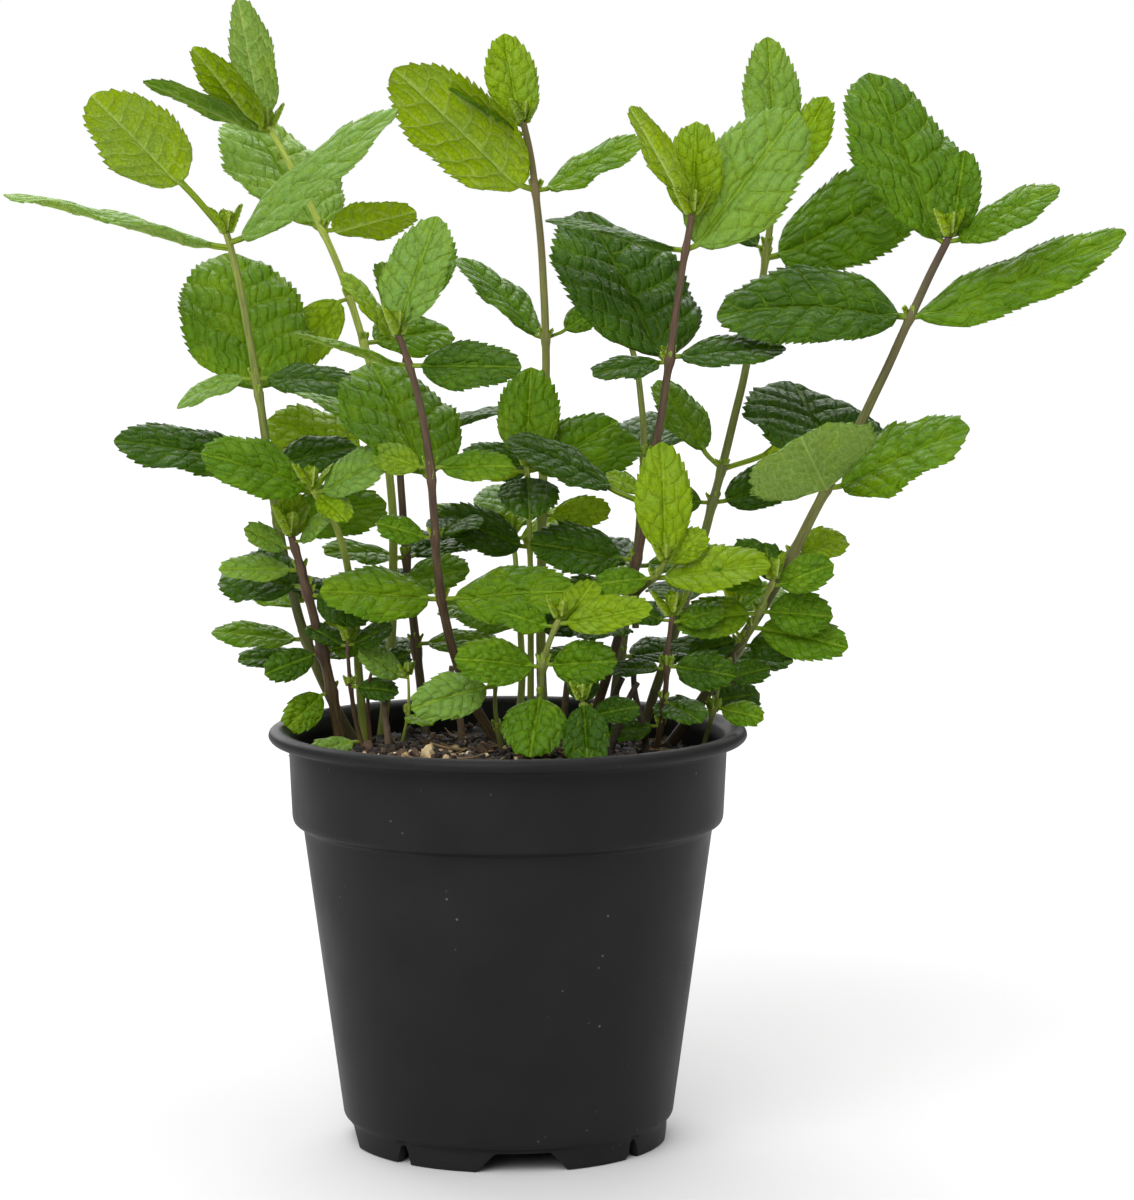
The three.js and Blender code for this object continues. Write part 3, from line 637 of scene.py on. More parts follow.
def add_stem(shape, shoot, seed):
    """One stem: thick at its foot, thin at its top, swollen where leaves join it, and wavering a little. Its
    radius falls evenly with the place t, and each swelling is a bell curve of the distance from its node."""
    route, thickness = shoot["route"], shoot["thickness"]
    length = np.linalg.norm(np.subtract(route[3], route[0]))
    rows = int(max(24, length / 1.5))
    t = np.linspace(0, 1, rows)
    path = stem_point(route, t)
    radius = thickness / 2 * (1.12 - 0.42 * t)
    leaves = shoot["leaves"] + shoot["small"]
    for place in sorted({leaf.place for leaf in leaves if 0.15 < leaf.place < 0.97}):
        radius = radius * (1 + 0.30 * np.exp(-((t - place) * length / 1.7) ** 2))
    path = path + 0.25 * smooth(t, 0, 0.1)[:, None] * np.stack(
        [lumps(path, 26, seed, 2), lumps(path, 26, seed + 1, 2), np.zeros(rows)], -1)
    buried = path[0] - np.array([[0, 0, 9.0], [0, 0, 6.0], [0, 0, 3.0]])
    path = np.concatenate([buried, path])
    radius = np.concatenate([np.full(3, radius[0]), radius])
    t = np.concatenate([np.zeros(3), t])
    rings = stem_rings(path, radius)
    along = np.concatenate([[0], np.cumsum(np.linalg.norm(np.diff(path, axis=0), axis=1))])
    around = np.linspace(0, 2 * np.pi * thickness / 2, rings.shape[1], endpoint=False)
    growth = np.stack(np.broadcast_arrays(t[:, None], along[:, None] + 40 * seed, around), -1)
    shape.add_tube(rings, path[0], path[-1] + 0.3 * unit(path[-1] - path[-2]), growth=growth)


# ------------------------------------------------------------------ leaves
def blade_width(u):
    """A broad oval outline with a blunt tip, u^0.5 (1-u)^0.6, as a part of its greatest width."""
    def power(t):
        return t ** 0.5 * (1 - t) ** 0.6
    return power(np.clip(u, 0, 1)) / power(0.5 / 1.1)


def leaf_axes(leaf, roll, start, s, twist):
    """Points, directions, upper normals and left sides along a midrib that is an arc. It leaves at the
    heading and rise, and turns down by the bend. The blade also twists slowly about the midrib."""
    turn, climb, arc, tilt = np.radians([leaf.heading, leaf.rise, leaf.bend or 0.1, roll])
    along = np.array([np.cos(climb) * np.cos(turn), np.cos(climb) * np.sin(turn), np.sin(climb)])
    level = np.array([-np.sin(turn), np.cos(turn), 0])
    upper = np.cross(along, level)
    side = level * np.cos(tilt) + upper * np.sin(tilt)
    face = np.cross(along, side)
    turned = (arc * s)[:, None]
    radius = leaf.length / arc
    points = start + along * radius * np.sin(turned) - face * radius * (1 - np.cos(turned))
    forward = along * np.cos(turned) - face * np.sin(turned)
    normal = face * np.cos(turned) + along * np.sin(turned)
    sideways = np.broadcast_to(side, normal.shape)
    swing = (twist * s)[:, None]
    twisted_normal = normal * np.cos(swing) - sideways * np.sin(swing)
    twisted_side = sideways * np.cos(swing) + normal * np.sin(swing)
    return points, forward, twisted_normal, twisted_side


def leaf_start(route, thickness, leaf):
    """Where the frame's leaf starts, just clear of the stem, and the middle of the stem beside it."""
    middle = stem_point(route, leaf.place)[0]
    if leaf.place == 1:
        return middle + stem_direction(route, 1)[0] * 1.3, middle
    heading = math.radians(leaf.heading)
    reach = thickness / 2 + 1.0
    return middle + reach * np.array([math.cos(heading), math.sin(heading), 0]), middle


class LeafSkin:
    """The skin of one leaf before it is carried along its midrib, as whole arrays on a grid: s runs from the
    stalk's foot to the tip, u from the blade's foot to the tip, and v from the left margin at 1 to the right
    margin at -1. Lengths are in mm."""

    def __init__(self, leaf, look, seed, cupping):
        self.leaf, self.look, self.seed, self.cupping = leaf, look, seed, cupping
        self.random = np.random.default_rng(seed)
        self.blade_length = leaf.length * (1 - leaf.stalk)
        self.stalk_radius = float(np.clip(0.35 + leaf.length / 90, 0.4, 0.9))
        self.lay_grid()
        self.cut_margin()
        self.place_veins()
        self.raise_skin()

    def lay_grid(self):
        """A few rows for each tooth, and columns that stand closer together towards the margins."""
        leaf, look = self.leaf, self.look
        self.teeth = int(np.clip(self.blade_length * MM / look.tooth_pitch, 5, 24))
        self.columns = int(np.clip(leaf.width * 1.35, 9, 45)) | 1
        along_blade = np.linspace(0, 0.994, self.teeth * look.rows_per_tooth + 1)
        stalk_rows = max(3, int(leaf.length * leaf.stalk / 1.2))
        along_stalk = np.linspace(0, leaf.stalk, stalk_rows, endpoint=False)
        self.s = np.concatenate([along_stalk, leaf.stalk + (1 - leaf.stalk) * along_blade])
        self.u = np.concatenate([np.full(stalk_rows, -1.0), along_blade])[:, None]
        self.on_blade = np.clip(self.u, 0, 1)
        even = np.linspace(1, -1, self.columns)[None]
        self.v = np.sin(even * np.pi / 2 * 0.55) / np.sin(np.pi / 2 * 0.55)
        self.edge = np.abs(self.v)

    def cut_margin(self):
        """The blade's half width, and its teeth: their depth times a saw of the place along the margin. Each
        tooth leans forwards."""
        leaf, u, v, on_blade, edge = self.leaf, self.u, self.v, self.on_blade, self.edge
        outline = blade_width(on_blade) * (u >= 0) * leaf.width / 2
        self.half = np.sqrt(outline ** 2 + (self.stalk_radius * (1 - 0.75 * on_blade)) ** 2)
        tooth_place = on_blade * self.teeth + 0.5 * (v < 0)
        saw = np.mod(tooth_place, 1.0) ** 0.8
        uneven = 0.7 + 0.6 * np.abs(np.sin(12.9 * np.floor(tooth_place) + self.seed + 2.0 * (v < 0)))
        depth = self.look.tooth_depth * leaf.width * np.sin(np.pi * on_blade) ** 0.3 * (u > 0.02) * uneven
        margin = edge ** 9
        self.lateral = np.sign(v) * (edge * self.half - margin * depth * (1 - saw))
        self.shift = margin * saw * 0.45 * self.blade_length / self.teeth * (u > 0.02) * (on_blade < 0.95)

    def place_veins(self):
        """The count is whole on a side vein. It falls towards the margin, so that the veins rise towards the
        tip. The ladder is whole on a cross vein: it grows across the blade, and jumps at each side vein."""
        on_blade, edge = self.on_blade, self.edge
        self.across = edge * self.half
        self.on_skin = np.stack(np.broadcast_arrays(on_blade * self.leaf.length, self.v * self.half), -1)
        veins = 6.2 + 1.2 * self.random.random()
        sway = 0.15 * lumps(self.on_skin, 14, self.seed + 1, 2)
        rising = on_blade - 0.26 * edge ** 1.4 * (1 - 0.5 * on_blade)
        self.count = veins * rising + 0.35 * (self.v < 0) + sway
        uneven_cells = 0.45 * lumps(self.on_skin, 12, self.seed + 2, 2)
        self.ladder = self.across * MM / self.look.ladder_pitch + 0.37 * np.floor(self.count) + uneven_cells

    def puffed_up(self):
        """The skin between the veins: |sin(pi count)|^0.5 times a part of |sin(pi ladder)|^0.5."""
        between = 0.75 + 0.25 * np.abs(np.sin(2 * np.pi * self.count)) ** 0.5
        rungs = 0.6 + 0.4 * np.abs(np.sin(np.pi * self.ladder)) ** 0.5
        pillow = np.abs(np.sin(np.pi * self.count)) ** 0.5 * between * rungs
        fading = smooth(self.across, 0.2, 1.6) * (1 - 0.5 * self.edge ** 6)
        height = self.look.quilting * self.leaf.width ** 0.8 * pillow * fading
        return height * np.sqrt(np.clip(np.sin(np.pi * self.on_blade), 0, 1))

    def raise_skin(self):
        """The heights of the upper and the lower skin. Across, the blade is a gull's wing whose sides arch
        down, with a channel along the midrib, a wavy margin and slack lumps. The stalk is round, and ribs
        stand out below under the midrib and the side veins."""
        u, on_blade, edge, half, look = self.u, self.on_blade, self.edge, self.half, self.look
        width, draw = self.leaf.width, self.random.random
        channel = -0.035 * width * np.exp(-(self.across / (0.05 * width)) ** 2) * (1 - on_blade)
        wing = half * (look.fold * self.cupping * (0.8 + 0.5 * draw()) * edge - look.arch * edge ** 2.2)
        wave = 0.06 * half * edge ** 3 * np.sin(2 * np.pi * (2.1 * on_blade + 0.5 * (self.v < 0) + draw()))
        slack = 0.035 * width * lumps(self.on_skin, 20, self.seed, 2)
        relief = (self.puffed_up() + channel + wing + wave + slack * edge) * smooth(u, 0, 0.08)

        round_part = 1 - smooth(u, 0, 0.10)
        rim = np.sqrt(np.clip(1 - self.v ** 2, 0, 1))
        rib = np.exp(-(self.across / 0.8) ** 2) * (1 - 0.8 * on_blade) * 0.8
        beside_vein = np.mod(self.count + 0.5, 1) - 0.5
        side_rib = 0.25 * np.exp(-(beside_vein / 0.08) ** 2) * (1 - edge) * smooth(u, 0.02, 0.1)
        thickness = (look.thickness / MM + rib + side_rib) * rim ** 0.35 + 0.06
        self.upper = relief + round_part * rim * self.stalk_radius
        self.lower = relief - round_part * rim * self.stalk_radius - (1 - round_part) * thickness

    def both_sides(self, above, below):
        """Rings that run over the upper side and back under the lower side."""
        return np.concatenate([above, below[:, self.columns - 2:0:-1]], 1)


def add_leaf(shape, leaf, start, root, look, seed, cupping=1.0, light_turn=0.0):
    """One leaf as a closed skin: rings over its upper side and back under its lower side are carried along
    the midrib, from the stalk's foot at the root to the tip. light_turn rolls a small leaf to the light."""
    skin = LeafSkin(leaf, look, seed, cupping)
    roll = leaf.roll + light_turn * math.cos(math.radians(leaf.heading))
    twist = look.twist * skin.random.uniform(-1, 1)
    middle, forward, normal, side = leaf_axes(leaf, roll, start, skin.s, twist)
    join = (1 - smooth(skin.s, 0, max(leaf.stalk, 0.05) * 0.8))[:, None]
    middle = middle + (root - start) * join
    level = middle[:, None] + side[:, None] * skin.lateral[..., None]
    leaning = forward[:, None] * skin.shift[..., None]
    above = level + normal[:, None] * skin.upper[..., None] + leaning
    below = level + normal[:, None] * skin.lower[..., None] + leaning
    rings = skin.both_sides(above, below)

    def both(value):
        value = np.broadcast_to(value, skin.lateral.shape)
        return skin.both_sides(value, value)

    one = np.ones(rings.shape[:2])
    under = skin.both_sides(np.zeros(skin.lateral.shape), np.ones(skin.lateral.shape))
    place = np.stack([both(skin.on_blade * leaf.length), both(skin.lateral), one * (seed % 97 * 1.7)], -1)
    rib_place = np.stack([both(skin.count), both(skin.ladder), both(skin.across)], -1)
    tone = leaf.tone + 0.07 * skin.random.uniform(-1, 1)
    nature = np.stack([one * tone, under, both(1 - smooth(skin.u, -0.5, 0.02))], -1)
    tip = middle[-1] + forward[-1] * 0.3
    shape.add_tube(rings, middle[0], tip, place=place, rib_place=rib_place, nature=nature)


def add_young_tip(shape, route, place, size, look, seed, heading):
    """The growing point of a shoot: three pairs of folded young leaves, each pair across the last and about
    two thirds of its size."""
    random = np.random.default_rng(seed)
    foot = stem_point(route, place)[0]
    upwards = stem_direction(route, place)[0]
    for pair in range(3):
        length = size * (1, 0.68, 0.42)[pair]
        start = foot + upwards * (0.4 + 0.9 * pair)
        for half in range(2):
            turn = heading + 90 * pair + 180 * half + random.uniform(-14, 14)
            rise = 52 + 14 * pair + random.uniform(-8, 8)
            leaf = Leaf(place, turn, rise, length, length * 0.64, bend=-10, roll=0, stalk=0.05, tone=LIME_AND_BACKLIT)
            add_leaf(shape, leaf, start, foot, look, seed + 10 * pair + half, cupping=1.8)


def axil_places(shoot):
    """The nodes of a shoot, where small side buds sit above the leaf stalks."""
    leaves = shoot["leaves"] + shoot["small"]
    return sorted({(round(leaf.place, 2), leaf.heading % 180) for leaf in leaves if 0.15 < leaf.place < 0.92})


# ------------------------------------------------------------------ pot and compost
def rounded_profile(corners, radius, steps=4):
    """A closed outline whose corners are rounded: each corner is a parabola between points a little before
    and after it, (1-t)^2 a + 2t(1-t) c + t^2 b."""
    corners = np.asarray(corners, float)
    before, after = np.roll(corners, 1, axis=0), np.roll(corners, -1, axis=0)
    to_before, to_after = before - corners, after - corners
    reach_before = np.minimum(radius, 0.42 * np.linalg.norm(to_before, axis=1, keepdims=True))
    reach_after = np.minimum(radius, 0.42 * np.linalg.norm(to_after, axis=1, keepdims=True))
    first = corners + unit(to_before) * reach_before
    last = corners + unit(to_after) * reach_after
    t = np.linspace(0, 1, steps)[None, :, None]
    curve = (1 - t) ** 2 * first[:, None] + 2 * t * (1 - t) * corners[:, None] + t ** 2 * last[:, None]
    return curve.reshape(-1, 2)


def filled_in(outline, gap):
    """Points added to the outline's long straight stretches, no further apart than the gap."""
    pieces = []
    for here, there in zip(outline, outline[1:]):
        count = max(1, int(np.ceil(np.linalg.norm(there - here) / gap)))
        pieces.append(here + (there - here) * np.arange(count)[:, None] / count)
    return np.concatenate(pieces + [outline[-1:]])


def notch_height(angle, radius, pot):
    """How far the foot ring's edge is cut up at an angle: wide and narrow notches take turns, and each is a
    trapezium, height times the distance inside its sloping side."""
    turn = np.mod(angle - pot.notch_turn, 2 * np.pi) / (np.pi / 4)
    nearest = np.round(turn)
    reach = np.abs(turn - nearest) * (np.pi / 4) * radius
    wide = nearest % 2 == 0
    half = np.where(wide, pot.wide_notch / MM / 2, pot.narrow_notch / MM / 2)
    slope = np.where(wide, 5.0, 1.2)
    return pot.notch_height / MM * np.clip((half + slope - reach) / slope, 0, 1)


def pot_shape(pot):
    """The pot's wall as an outline of radius and height, carried round the axis. The foot ring's heights are
    squeezed upwards where it is notched."""
    band, foot = pot.band_bottom / MM, pot.foot_depth / MM
    wall, foot_radius, step_radius = pot.wall / MM, pot.foot_radius / MM, pot.step_radius / MM
    band_radius, lip = RIM_RADIUS - 5.5, POT_HEIGHT
    outer = [(foot_radius - 2.4, foot), (foot_radius - 2.4, 0), (foot_radius, 0), (foot_radius, foot - 1),
             (foot_radius + 1.6, foot + 0.6), (step_radius, band - 0.8), (step_radius + 2.4, band + 0.4),
             (step_radius + 2.9, band + 1.8), (band_radius - 0.1, lip - 4.6), (band_radius + 0.9, lip - 3.9),
             (RIM_RADIUS - 1.2, lip - 3.7), (RIM_RADIUS, lip - 2.3), (RIM_RADIUS - 0.5, lip - 0.7),
             (RIM_RADIUS - 2.0, lip), (RIM_RADIUS - 4.0, lip - 0.3), (RIM_RADIUS - 6.0, lip - 1.6)]
    inner = [(band_radius - wall, lip - 4.6), (step_radius + 1.0, band + 3.2),
             (step_radius - wall, band + 1.6), (foot_radius - 0.2, foot + wall)]
    profile = filled_in(rounded_profile(outer + inner, 0.9), 3.0)
    under = np.stack([np.array([2.0, 14.0, 26.0, 34.0]), np.full(4, foot)], -1)
    floor = under[::-1] + [0, wall]
    profile = np.concatenate([under, profile, floor])
    angle = -np.arange(pot.segments) / pot.segments * 2 * np.pi
    radius, height = profile[:, :1], profile[:, 1:]
    cut = notch_height(angle[None], foot_radius, pot)
    low = height < foot - 0.01
    height = np.where(low, cut + height * (foot - cut) / foot, height)
    rings = np.stack([radius * np.cos(angle), radius * np.sin(angle), height * np.ones_like(angle)], -1)
    shape = Shape()
    shape.add_tube(rings, [0, 0, foot], [0, 0, foot + wall])
    return shape


def cut_drain_holes(piece, pot):
    """Eight round holes are cut through the pot's floor, between the notches."""
    cutter = Shape()
    turn = np.arange(24) / 24 * 2 * np.pi
    for i in range(8):
        heading = pot.notch_turn + math.radians(22.5 + 45 * i)
        middle = np.array([math.cos(heading), math.sin(heading), 0]) * 33
        ring = np.stack([3.5 * np.cos(turn), 3.5 * np.sin(turn), 0 * turn], -1)
        heights = np.array([2.0, 12.0])[:, None, None] * [0, 0, 1]
        cutter.add_tube(middle + ring + heights, middle + [0, 0, 2], middle + [0, 0, 12])
    mesh = mesh_from(cutter, "drain_hole_cutters", piece.data.materials[0])
    tool = bpy.data.objects.new("drain_hole_cutters", mesh)
    bpy.context.scene.collection.objects.link(tool)
    holes = piece.modifiers.new("drain holes", "BOOLEAN")
    holes.object, holes.operation, holes.solver = tool, "DIFFERENCE", "EXACT"
    evaluated = piece.evaluated_get(bpy.context.evaluated_depsgraph_get())
    cut = bpy.data.meshes.new_from_object(evaluated)
    piece.modifiers.clear()
    piece.data = cut
    bpy.data.objects.remove(tool)


def compost_height(x, y):
    """The compost's top in mm: a low mound, clods, and a drop towards the pot's wall."""
    radius = np.hypot(x, y)
    places = np.stack([x, y], -1)
    clods = 1.5 * lumps(places, 26, 5) + 0.8 * lumps(places, 9, 6) + 0.45 * np.abs(lumps(places, 3.6, 7))
    mound = 3.2 * np.exp(-((x + 6) / 44) ** 2 - ((y + 26) / 24) ** 2)
    return SOIL_TOP + clods + mound - 2.2 * smooth(radius, 46, SOIL_RADIUS)


def compost_shape():
    """A closed disc of compost: rings of the top surface from the middle to the wall, then down the inside of
    the pot to its floor."""
    angle = np.arange(240) / 240 * 2 * np.pi
    radius = np.linspace(1.2, SOIL_RADIUS - 0.2, 70)[::-1][:, None]
    x, y = radius * np.cos(angle), radius * np.sin(angle)
    top = np.stack([x, y, compost_height(x, y)], -1)
    depth = np.linspace(0, 1, 12)[:, None]
    side_radius = SOIL_FOOT_RADIUS + (SOIL_RADIUS - 1.5 - SOIL_FOOT_RADIUS) * depth ** 0.9
    side_height = SOIL_BOTTOM + (SOIL_TOP - 3.5 - SOIL_BOTTOM) * depth
    side = np.stack([side_radius * np.cos(angle), side_radius * np.sin(angle), side_height + 0 * angle], -1)
    base = side[:1] * [0.5, 0.5, 1]
    rings = np.concatenate([base, side, top])
    shape = Shape()
    shape.add_tube(rings, [0, 0, SOIL_BOTTOM], [0, 0, compost_height(np.zeros(1), np.zeros(1))[0]])
    return shape


def add_crumbs(shape, places, sizes, random, flatness=0.75):
    """Crumbs: little balls of three rings of six points and two poles. Each point is pushed in or out at
    random, and each ball is stretched, flattened and turned at random."""
    rows, columns = 3, 6
    latitude = np.array([-0.85, 0, 0.85])[:, None]
    longitude = np.arange(columns) / columns * 2 * np.pi
    ball = np.stack([np.cos(latitude) * np.cos(longitude), np.cos(latitude) * np.sin(longitude),
                     np.sin(latitude) + 0 * longitude], -1).reshape(-1, 3)
    ball = np.concatenate([ball, [[0, 0, -1], [0, 0, 1]]])
    count = len(places)
    points = ball[None] * random.uniform(0.65, 1.3, (count, len(ball), 1))
    stretch = random.uniform(0.7, 1.3, (count, 1, 3)) * [1, 1, flatness]
    axes = unit(random.normal(size=(count, 3)))
    sideways = unit(np.cross(axes, random.normal(size=(count, 3))))
    frames = np.stack([axes, sideways, np.cross(axes, sideways)], 1)
    points = np.einsum("nvi,nij->nvj", points * stretch, frames) * sizes[:, None, None]
    points = points + places[:, None]
    quads, fans = tube_faces(rows, columns)
    offsets = np.arange(count)[:, None, None] * len(ball)
    shade = np.repeat(np.stack([random.random(count), sizes, sizes], -1), len(ball), axis=0)
    shape.add(points.reshape(-1, 3), quads[None] + offsets, fans[None] + offsets, shade=shade)


def scattered(random, count, centre, spread, lift=0.3):
    """Places on the compost round a centre, kept inside the pot."""
    spots = np.asarray(centre) + random.normal(size=(count, 2)) * spread
    radius = np.linalg.norm(spots, axis=1)
    spots = spots[radius < SOIL_RADIUS - 3.5]
    return np.column_stack([spots, compost_height(spots[:, 0], spots[:, 1]) + lift])


def add_fibre(shape, start, heading, length, radius, random, rise=0.0):
    """A dry root or straw: a thin round rod of five-sided rings that wanders along the compost."""
    t = np.linspace(0, 1, 8)
    turn = heading + random.uniform(-0.9, 0.9) * t
    path = start + length * np.cumsum(np.stack([np.cos(turn), np.sin(turn), rise * t], -1), axis=0) / 8
    ground = compost_height(path[:, 0], path[:, 1]) + 0.3
    path[:, 2] = np.maximum(path[:, 2], ground)
    rings = stem_rings(path, np.full(8, radius) * (1 - 0.4 * t), columns=5, squareness=2)
    shape.add_tube(rings, path[0], path[-1], shade=[random.random(), radius, 0])


# ------------------------------------------------------------------ materials
# Inputs that share a name go by number. In a MapRange, 0 is the value, 1 and 2 are the low and the high that
# it comes from, and 3 and 4 those that it goes to. In a Mix of colours, 0 is the share of the second colour,
# 6 and 7 are the first and the second colour, and output 2 is the result.
def add_node(tree, kind, inputs=(), output=0, stops=(), **settings):
    """Adds a node with its settings, its colour stops and its inputs, which are values or other nodes'
    outputs, and gives one of its outputs, or all of them where output is None."""
    node = tree.nodes.new("ShaderNode" + kind)
    for key, value in settings.items():
        setattr(node, key, value)
    if stops:
        elements = node.color_ramp.elements
        while len(elements) < len(stops):
            elements.new(0.5)
        for element, (place, colour) in zip(elements, stops):
            element.position = place
            element.color = (*colour, 1)
    for key, value in dict(inputs).items():
        socket = node.inputs[key]
        if isinstance(value, bpy.types.NodeSocket):
            tree.links.new(value, socket)
        else:
            socket.default_value = value
    return node.outputs if output is None else node.outputs[output]


def new_material(name):
    """An empty material with its output node."""
    material = bpy.data.materials.new(name)
    material.use_nodes = True
    tree = material.node_tree
    tree.nodes.clear()
    return material, tree, tree.nodes.new("ShaderNodeOutputMaterial")


def leaf_material(leaf):
    """Mint leaf, grown quilted: a thin waxy skin over bright green flesh. The eye sees puffed cells between
    sunken, paler veins, a satin gloss that breaks up on the cells, a paler dull underside, and yellow-green
    light that comes through from behind. Distances on the leaf are in millimetres."""
    material, tree, out = new_material("mint leaf, quilted")
    nature = add_node(tree, "Attribute", attribute_name="nature", output=1)
    tone, under, stalk = add_node(tree, "SeparateXYZ", {0: nature}, output=None)
    place = add_node(tree, "Attribute", attribute_name="place", output=1)
    rib_place = add_node(tree, "Attribute", attribute_name="rib_place", output=1)
    count, ladder, across = add_node(tree, "SeparateXYZ", {0: rib_place}, output=None)

    # Slow patches, a fine mottle, a fine grain, and a net of small cells whose lines wander.
    patch = add_node(tree, "TexNoise", {"Vector": place, "Scale": 0.09, "Detail": 3.0})
    mottle = add_node(tree, "TexNoise", {"Vector": place, "Scale": 0.7, "Detail": 4.0})
    grain = add_node(tree, "TexNoise", {"Vector": place, "Scale": 4.0, "Detail": 2.0})
    wander = add_node(tree, "TexNoise", {"Vector": place, "Scale": 0.5, "Detail": 1.0}, output=1)
    warped = add_node(tree, "VectorMath", {0: place, 1: wander}, operation="ADD")
    cells = add_node(tree, "TexVoronoi", {"Vector": warped, "Scale": MM / leaf.net_cell},
                     feature="DISTANCE_TO_EDGE")
    net = add_node(tree, "MapRange", {0: cells, 1: 0.01, 2: 0.14, 3: 1.0, 4: 0.0})

    # Side veins lie where the count is whole, cross veins where the ladder is, and the midrib in the middle.
    from_side = add_node(tree, "Math", {0: count, 1: 0.5}, operation="PINGPONG")
    from_cross = add_node(tree, "Math", {0: ladder, 1: 0.5}, operation="PINGPONG")
    side_vein = add_node(tree, "MapRange", {0: from_side, 1: 0.01, 2: 0.065, 3: 1.0, 4: 0.0})
    cross_vein = add_node(tree, "MapRange", {0: from_cross, 1: 0.03, 2: 0.13, 3: 0.75, 4: 0.0})
    midrib = add_node(tree, "MapRange", {0: across, 1: 0.15, 2: 0.6, 3: 1.0, 4: 0.0})
    lines = add_node(tree, "Math", {0: side_vein, 1: cross_vein}, operation="MAXIMUM")
    fading = add_node(tree, "MapRange", {0: mottle, 1: 0.32, 2: 0.55, 3: 0.35, 4: 1.0})
    faded = add_node(tree, "Math", {0: lines, 1: fading}, operation="MULTIPLY")
    veins = add_node(tree, "Math", {0: faded, 1: midrib}, operation="MAXIMUM")

    # The upper side: its tone, darker blotches, a painted highlight that makes the puffed cells lighter, and
    # pale veins and net.
    drift = add_node(tree, "MapRange", {0: patch, 1: 0.3, 2: 0.7, 3: -0.12, 4: 0.12})
    shifted = add_node(tree, "Math", {0: tone, 1: drift}, operation="ADD")
    # The tone stops are lit and shaded copies of one leaf colour: deep is partly painted shade, lime partly
    # painted backlight, and the silvery stop a painted sheen.
    above = add_node(tree, "ValToRGB", {0: shifted}, stops=[
        (DEEP_AND_SHADED, leaf.deep_and_shaded), (GREEN, leaf.green), (LIME_AND_BACKLIT, leaf.lime_and_backlit), (PAINTED_SHEEN, leaf.painted_sheen)])
    blotch = add_node(tree, "MapRange", {0: mottle, 1: 0.45, 2: 0.75, 3: 0.0, 4: 0.45})
    blotched = add_node(tree, "Mix", {0: blotch, 6: above, 7: rgba("#243f07")}, output=2, data_type="RGBA")
    # The puffed cells get a painted highlight, stronger on the lighter tones; the same strength also sets the
    # pale net.
    highlight_and_net_strength = add_node(tree, "MapRange", {0: shifted, 1: 0.0, 2: 0.6, 3: 0.07, 4: 0.30})
    painted_highlight_share = add_node(tree, "MapRange", {0: from_cross, 1: 0.15, 2: 0.45, 3: 0.0, 4: highlight_and_net_strength})
    puffed = add_node(tree, "Mix", {0: painted_highlight_share, 6: blotched, 7: rgba("#86b014")}, output=2, data_type="RGBA")
    net_share = add_node(tree, "Math", {0: net, 1: highlight_and_net_strength}, operation="MULTIPLY")
    netted = add_node(tree, "Mix", {0: net_share, 6: puffed, 7: rgba("#7eaa12")}, output=2, data_type="RGBA")
    vein_strength = add_node(tree, "MapRange", {0: shifted, 1: 0.0, 2: 0.6, 3: 0.30, 4: 0.66})
    vein_share = add_node(tree, "Math", {0: veins, 1: vein_strength}, operation="MULTIPLY")
    veined = add_node(tree, "Mix", {0: vein_share, 6: netted, 7: (*leaf.vein, 1)}, output=2,
                      data_type="RGBA")

    # The under side: paler and duller, with raised pale veins and a dark sunken net.
    # The under side's stops carry the same painted shade, backlight and sheen.
    below = add_node(tree, "ValToRGB", {0: shifted}, stops=[
        (DEEP_AND_SHADED, linear("#48701c")), (GREEN, linear("#6d9620")),
        (LIME_AND_BACKLIT, linear("#a6c00e")), (PAINTED_SHEEN, linear("#8eae5c"))])
    under_share = add_node(tree, "Math", {0: net, 1: 0.5}, operation="MULTIPLY")
    under_net = add_node(tree, "Mix", {0: under_share, 6: below, 7: rgba("#4c7410")}, output=2,
                         data_type="RGBA")
    under_veined = add_node(tree, "Mix", {0: vein_share, 6: under_net, 7: rgba("#c0d67c")}, output=2,
                            data_type="RGBA")
    skin = add_node(tree, "Mix", {0: under, 6: veined, 7: under_veined}, output=2, data_type="RGBA")
    coloured = add_node(tree, "Mix", {0: stalk, 6: skin, 7: rgba("#8fa834")}, output=2, data_type="RGBA")

    # Cells stand out above, and sink in below.
    cell_puff = add_node(tree, "MapRange", {0: cells, 1: 0.0, 2: 0.35})
    cross_puff = add_node(tree, "MapRange", {0: from_cross, 1: 0.0, 2: 0.3})
    puff = add_node(tree, "Math", {0: cell_puff, 1: 0.4, 2: cross_puff}, operation="MULTIPLY_ADD")
    sunk = add_node(tree, "Math", {0: veins, 1: -1.0, 2: puff}, operation="MULTIPLY_ADD")
    height = add_node(tree, "Math", {0: grain, 1: 0.25, 2: sunk}, operation="MULTIPLY_ADD")
    side = add_node(tree, "Math", {0: under, 1: -1.6, 2: 1.0}, operation="MULTIPLY_ADD")
    relief = add_node(tree, "Math", {0: height, 1: side}, operation="MULTIPLY")
    bump = add_node(tree, "Bump", {"Strength": 0.85, "Distance": 0.0004, "Height": relief})

